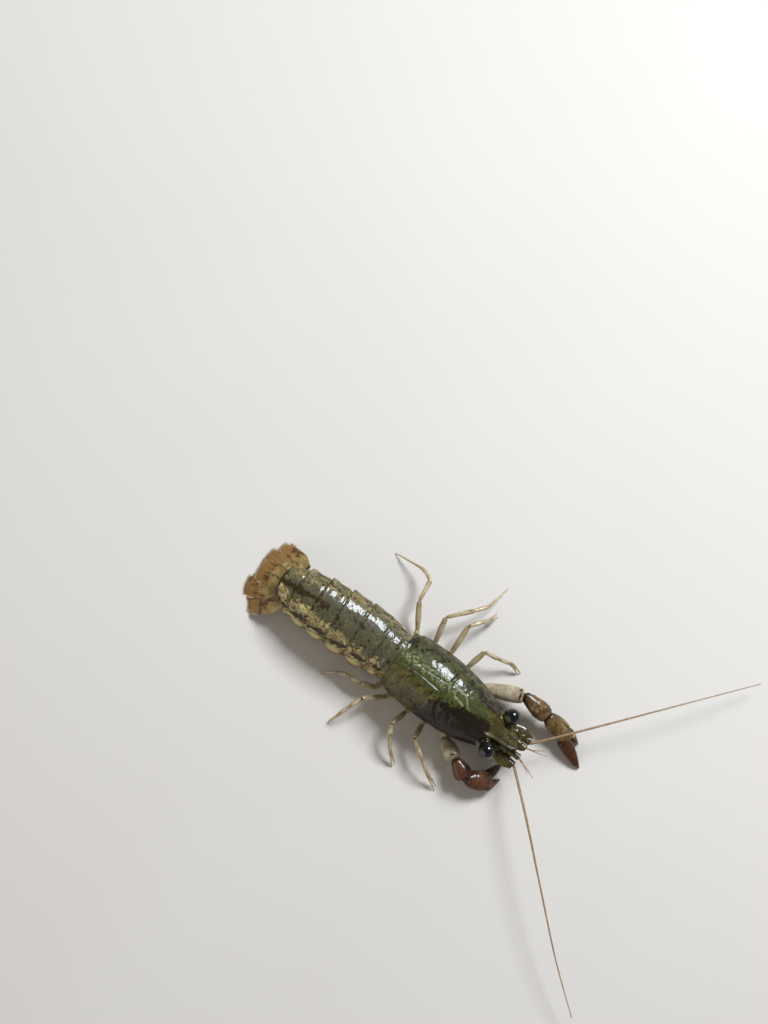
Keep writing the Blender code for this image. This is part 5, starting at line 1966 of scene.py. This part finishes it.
@dataclass
class Studio:
    """The pale floor, the soft lights and the camera."""

    heading: float = 38.0  # degrees that the head points below level in the picture
    tilt: float = 10.0  # degrees that the view leans over the animal
    distance: float = 160.0
    aim: Triple = (-7.54, 8.17, 2.5)
    focal_pixels: float = 2080.0
    picture_height: float = 1024.0
    sensor: float = 36.0

    def axes(self) -> tuple[Vector, Vector, Vector]:
        """The picture's right, its up and the way back to the camera, in body directions."""
        a, tilt = math.radians(self.heading), Matrix.Rotation(math.radians(self.tilt), 3, "X")
        return (
            tilt @ Vector((math.cos(a), math.sin(a), 0)),
            tilt @ Vector((-math.sin(a), math.cos(a), 0)),
            tilt @ UP,
        )

    def camera(self) -> None:
        """Makes the camera at the photograph's angle and framing."""
        right, up, back = self.axes()
        data = bpy.data.cameras.new("camera")
        data.sensor_fit = "VERTICAL"
        data.sensor_height = self.sensor
        data.lens = self.focal_pixels / self.picture_height * self.sensor
        data.clip_start, data.clip_end = 0.005, 5.0
        camera = placed("camera", data)
        eye = ORIGIN + (Vector(self.aim) + back * self.distance) * MM
        camera.matrix_world = Matrix.Translation(eye) @ Matrix((right, up, back)).transposed().to_4x4()
        bpy.context.scene.camera = camera

    def light(self, name: str, spot: Triple, size: float, power: float, colour: str) -> None:
        """Adds a square soft light.

        Args:
            name: Its name.
            spot: Its place in body millimetres along the picture's right, up and back.
            size: Its side in millimetres.
            power: Its power in watts.
            colour: Its colour.
        """
        data = bpy.data.lights.new(name, "AREA")
        data.size = size * MM
        data.energy = power
        data.color = linear(colour)[:3]
        lamp = placed(name, data)
        right, up, back = self.axes()
        offset = right * spot[0] + up * spot[1] + back * spot[2]
        lamp.location = ORIGIN + offset * MM
        lamp.rotation_euler = (-offset).to_track_quat("-Z", "Y").to_euler()

    def build(self) -> None:
        """Makes the floor, the lights and the camera."""
        self.floor()
        self.surroundings()
        self.light("window", (122.0, 138.0, 150.0), 80.0, 0.74, "#eef5ff")
        self.light("fill", (-240.0, -140.0, 110.0), 400.0, 0.5, "#fff4e8")
        # True colours, as a plain camera gives them
        bpy.context.scene.view_settings.view_transform = "Standard"
        self.camera()

    def floor(self) -> None:
        """Makes the floor, a pale board."""
        bm = bmesh.new()
        bmesh.ops.create_grid(bm, x_segments=8, y_segments=8, size=0.5)
        mesh = bpy.data.meshes.new("floor")
        bm.to_mesh(mesh)
        bm.free()
        floor = placed("floor", mesh)
        mesh.materials.append(Wardrobe.material(FloorFinish()))

    def surroundings(self) -> None:
        """Makes the room's light: dim overhead, so wet dark shell stays dark, and bright around."""
        world = bpy.data.worlds.new("studio")
        world.use_nodes = True
        tree = world.node_tree
        sky = next(n for n in tree.nodes if n.type == "BACKGROUND")
        sky.inputs["Color"].default_value = linear("#e9edf0")
        way = tree.nodes.new("ShaderNodeTexCoord").outputs["Generated"]
        parts = tree.nodes.new("ShaderNodeSeparateXYZ")
        tree.links.new(way, parts.inputs[0])
        fade = tree.nodes.new("ShaderNodeMapRange")
        for number, value in ((1, 0.0), (2, 0.9), (3, 0.42), (4, 0.16)):
            fade.inputs[number].default_value = value
        tree.links.new(parts.outputs["Z"], fade.inputs[0])
        tree.links.new(fade.outputs[0], sky.inputs["Strength"])
        bpy.context.scene.world = world


LEGS = (
    Leg(2, 1, 4.75, (5.2, 4.5, 1.95), (6.4, 4.75, 1.75), (7.7, 5.3, 0.85), (8.6, 5.15, 0.0)),
    Leg(3, 1, 3.45, (3.0, 5.3, 2.1), (3.75, 6.3, 1.75), (4.15, 7.0, 1.0), (4.3, 7.8, 0.0)),
    Leg(4, 1, 2.15, (1.2, 4.75, 2.0), (2.75, 6.65, 2.1), (3.4, 7.6, 1.65), (3.8, 9.9, 0.0)),
    Leg(5, 1, 0.85, (-1.2, 4.5, 2.0), (-1.5, 6.5, 1.95), (-2.7, 6.75, 1.2), (-4.9, 6.6, 0.0)),
    Leg(2, -1, 4.75, (4.9, -4.1, 1.9), (6.4, -5.0, 1.75), (7.7, -5.7, 0.85), (8.7, -6.1, 0.0)),
    Leg(3, -1, 3.45, (2.85, -4.3, 1.95), (3.3, -5.1, 1.75), (4.3, -6.1, 0.85), (5.0, -6.7, 0.0)),
    Leg(4, -1, 2.15, (-0.15, -4.2, 1.95), (-0.5, -5.2, 1.75), (-0.8, -6.3, 0.85), (-1.0, -7.0, 0.0)),
    Leg(5, -1, 0.85, (-0.9, -3.25, 1.5), (-1.9, -3.3, 1.4), (-2.8, -3.55, 0.8), (-3.8, -4.4, 0.0)),
)
CLAWS = (
    Claw(
        1, (6.75, 2.3, 0.74), (9.65, 3.66, 1.9), ((9.9, 3.72, 1.92), (11.95, 3.6, 1.6)),
        ((12.2, 3.6, 1.5), (14.1, 3.42, 0.95)), (15.45, 3.55, 0.1), (16.6, 2.1, 0.12), 0.2, 1.0,
    ),
    # This claw's redness of 0.75 is partly its own red-brown and partly painted shade
    Claw(
        -1, (6.75, -2.55, 0.74), (8.35, -3.35, 1.55), ((8.6, -3.5, 1.6), (9.75, -3.95, 1.5)),
        ((10.08, -3.98, 1.4), (11.35, -3.2, 0.9)), (12.2, -2.35, 0.1), (11.6, -1.35, 0.12), 0.75, 0.74,
    ),
)
LEFT_FEELER = ((12.4, 1.3, 2.42), (15.0, 4.6, 3.0), (19.2, 10.0, 2.9), (23.9, 16.0, 1.6))
RIGHT_FEELER = (
    (12.4, -1.3, 2.42), (15.4, -3.9, 3.0), (19.3, -7.3, 3.0), (23.4, -10.7, 2.4), (27.2, -13.4, 1.5),
)


def main() -> None:
    """Builds the animal from the shell outwards, then the studio."""
    abdomen = Abdomen()
    parts = [
        Carapace(), abdomen, TailFan(abdomen), Head(), Flesh(abdomen), *LEGS, *CLAWS,
        Eye(1), Eye(-1), Feelers(1, LEFT_FEELER), Feelers(-1, RIGHT_FEELER), Studio(),
    ]
    for part in parts:
        part.build()


if __name__ == "__main__":
    main()
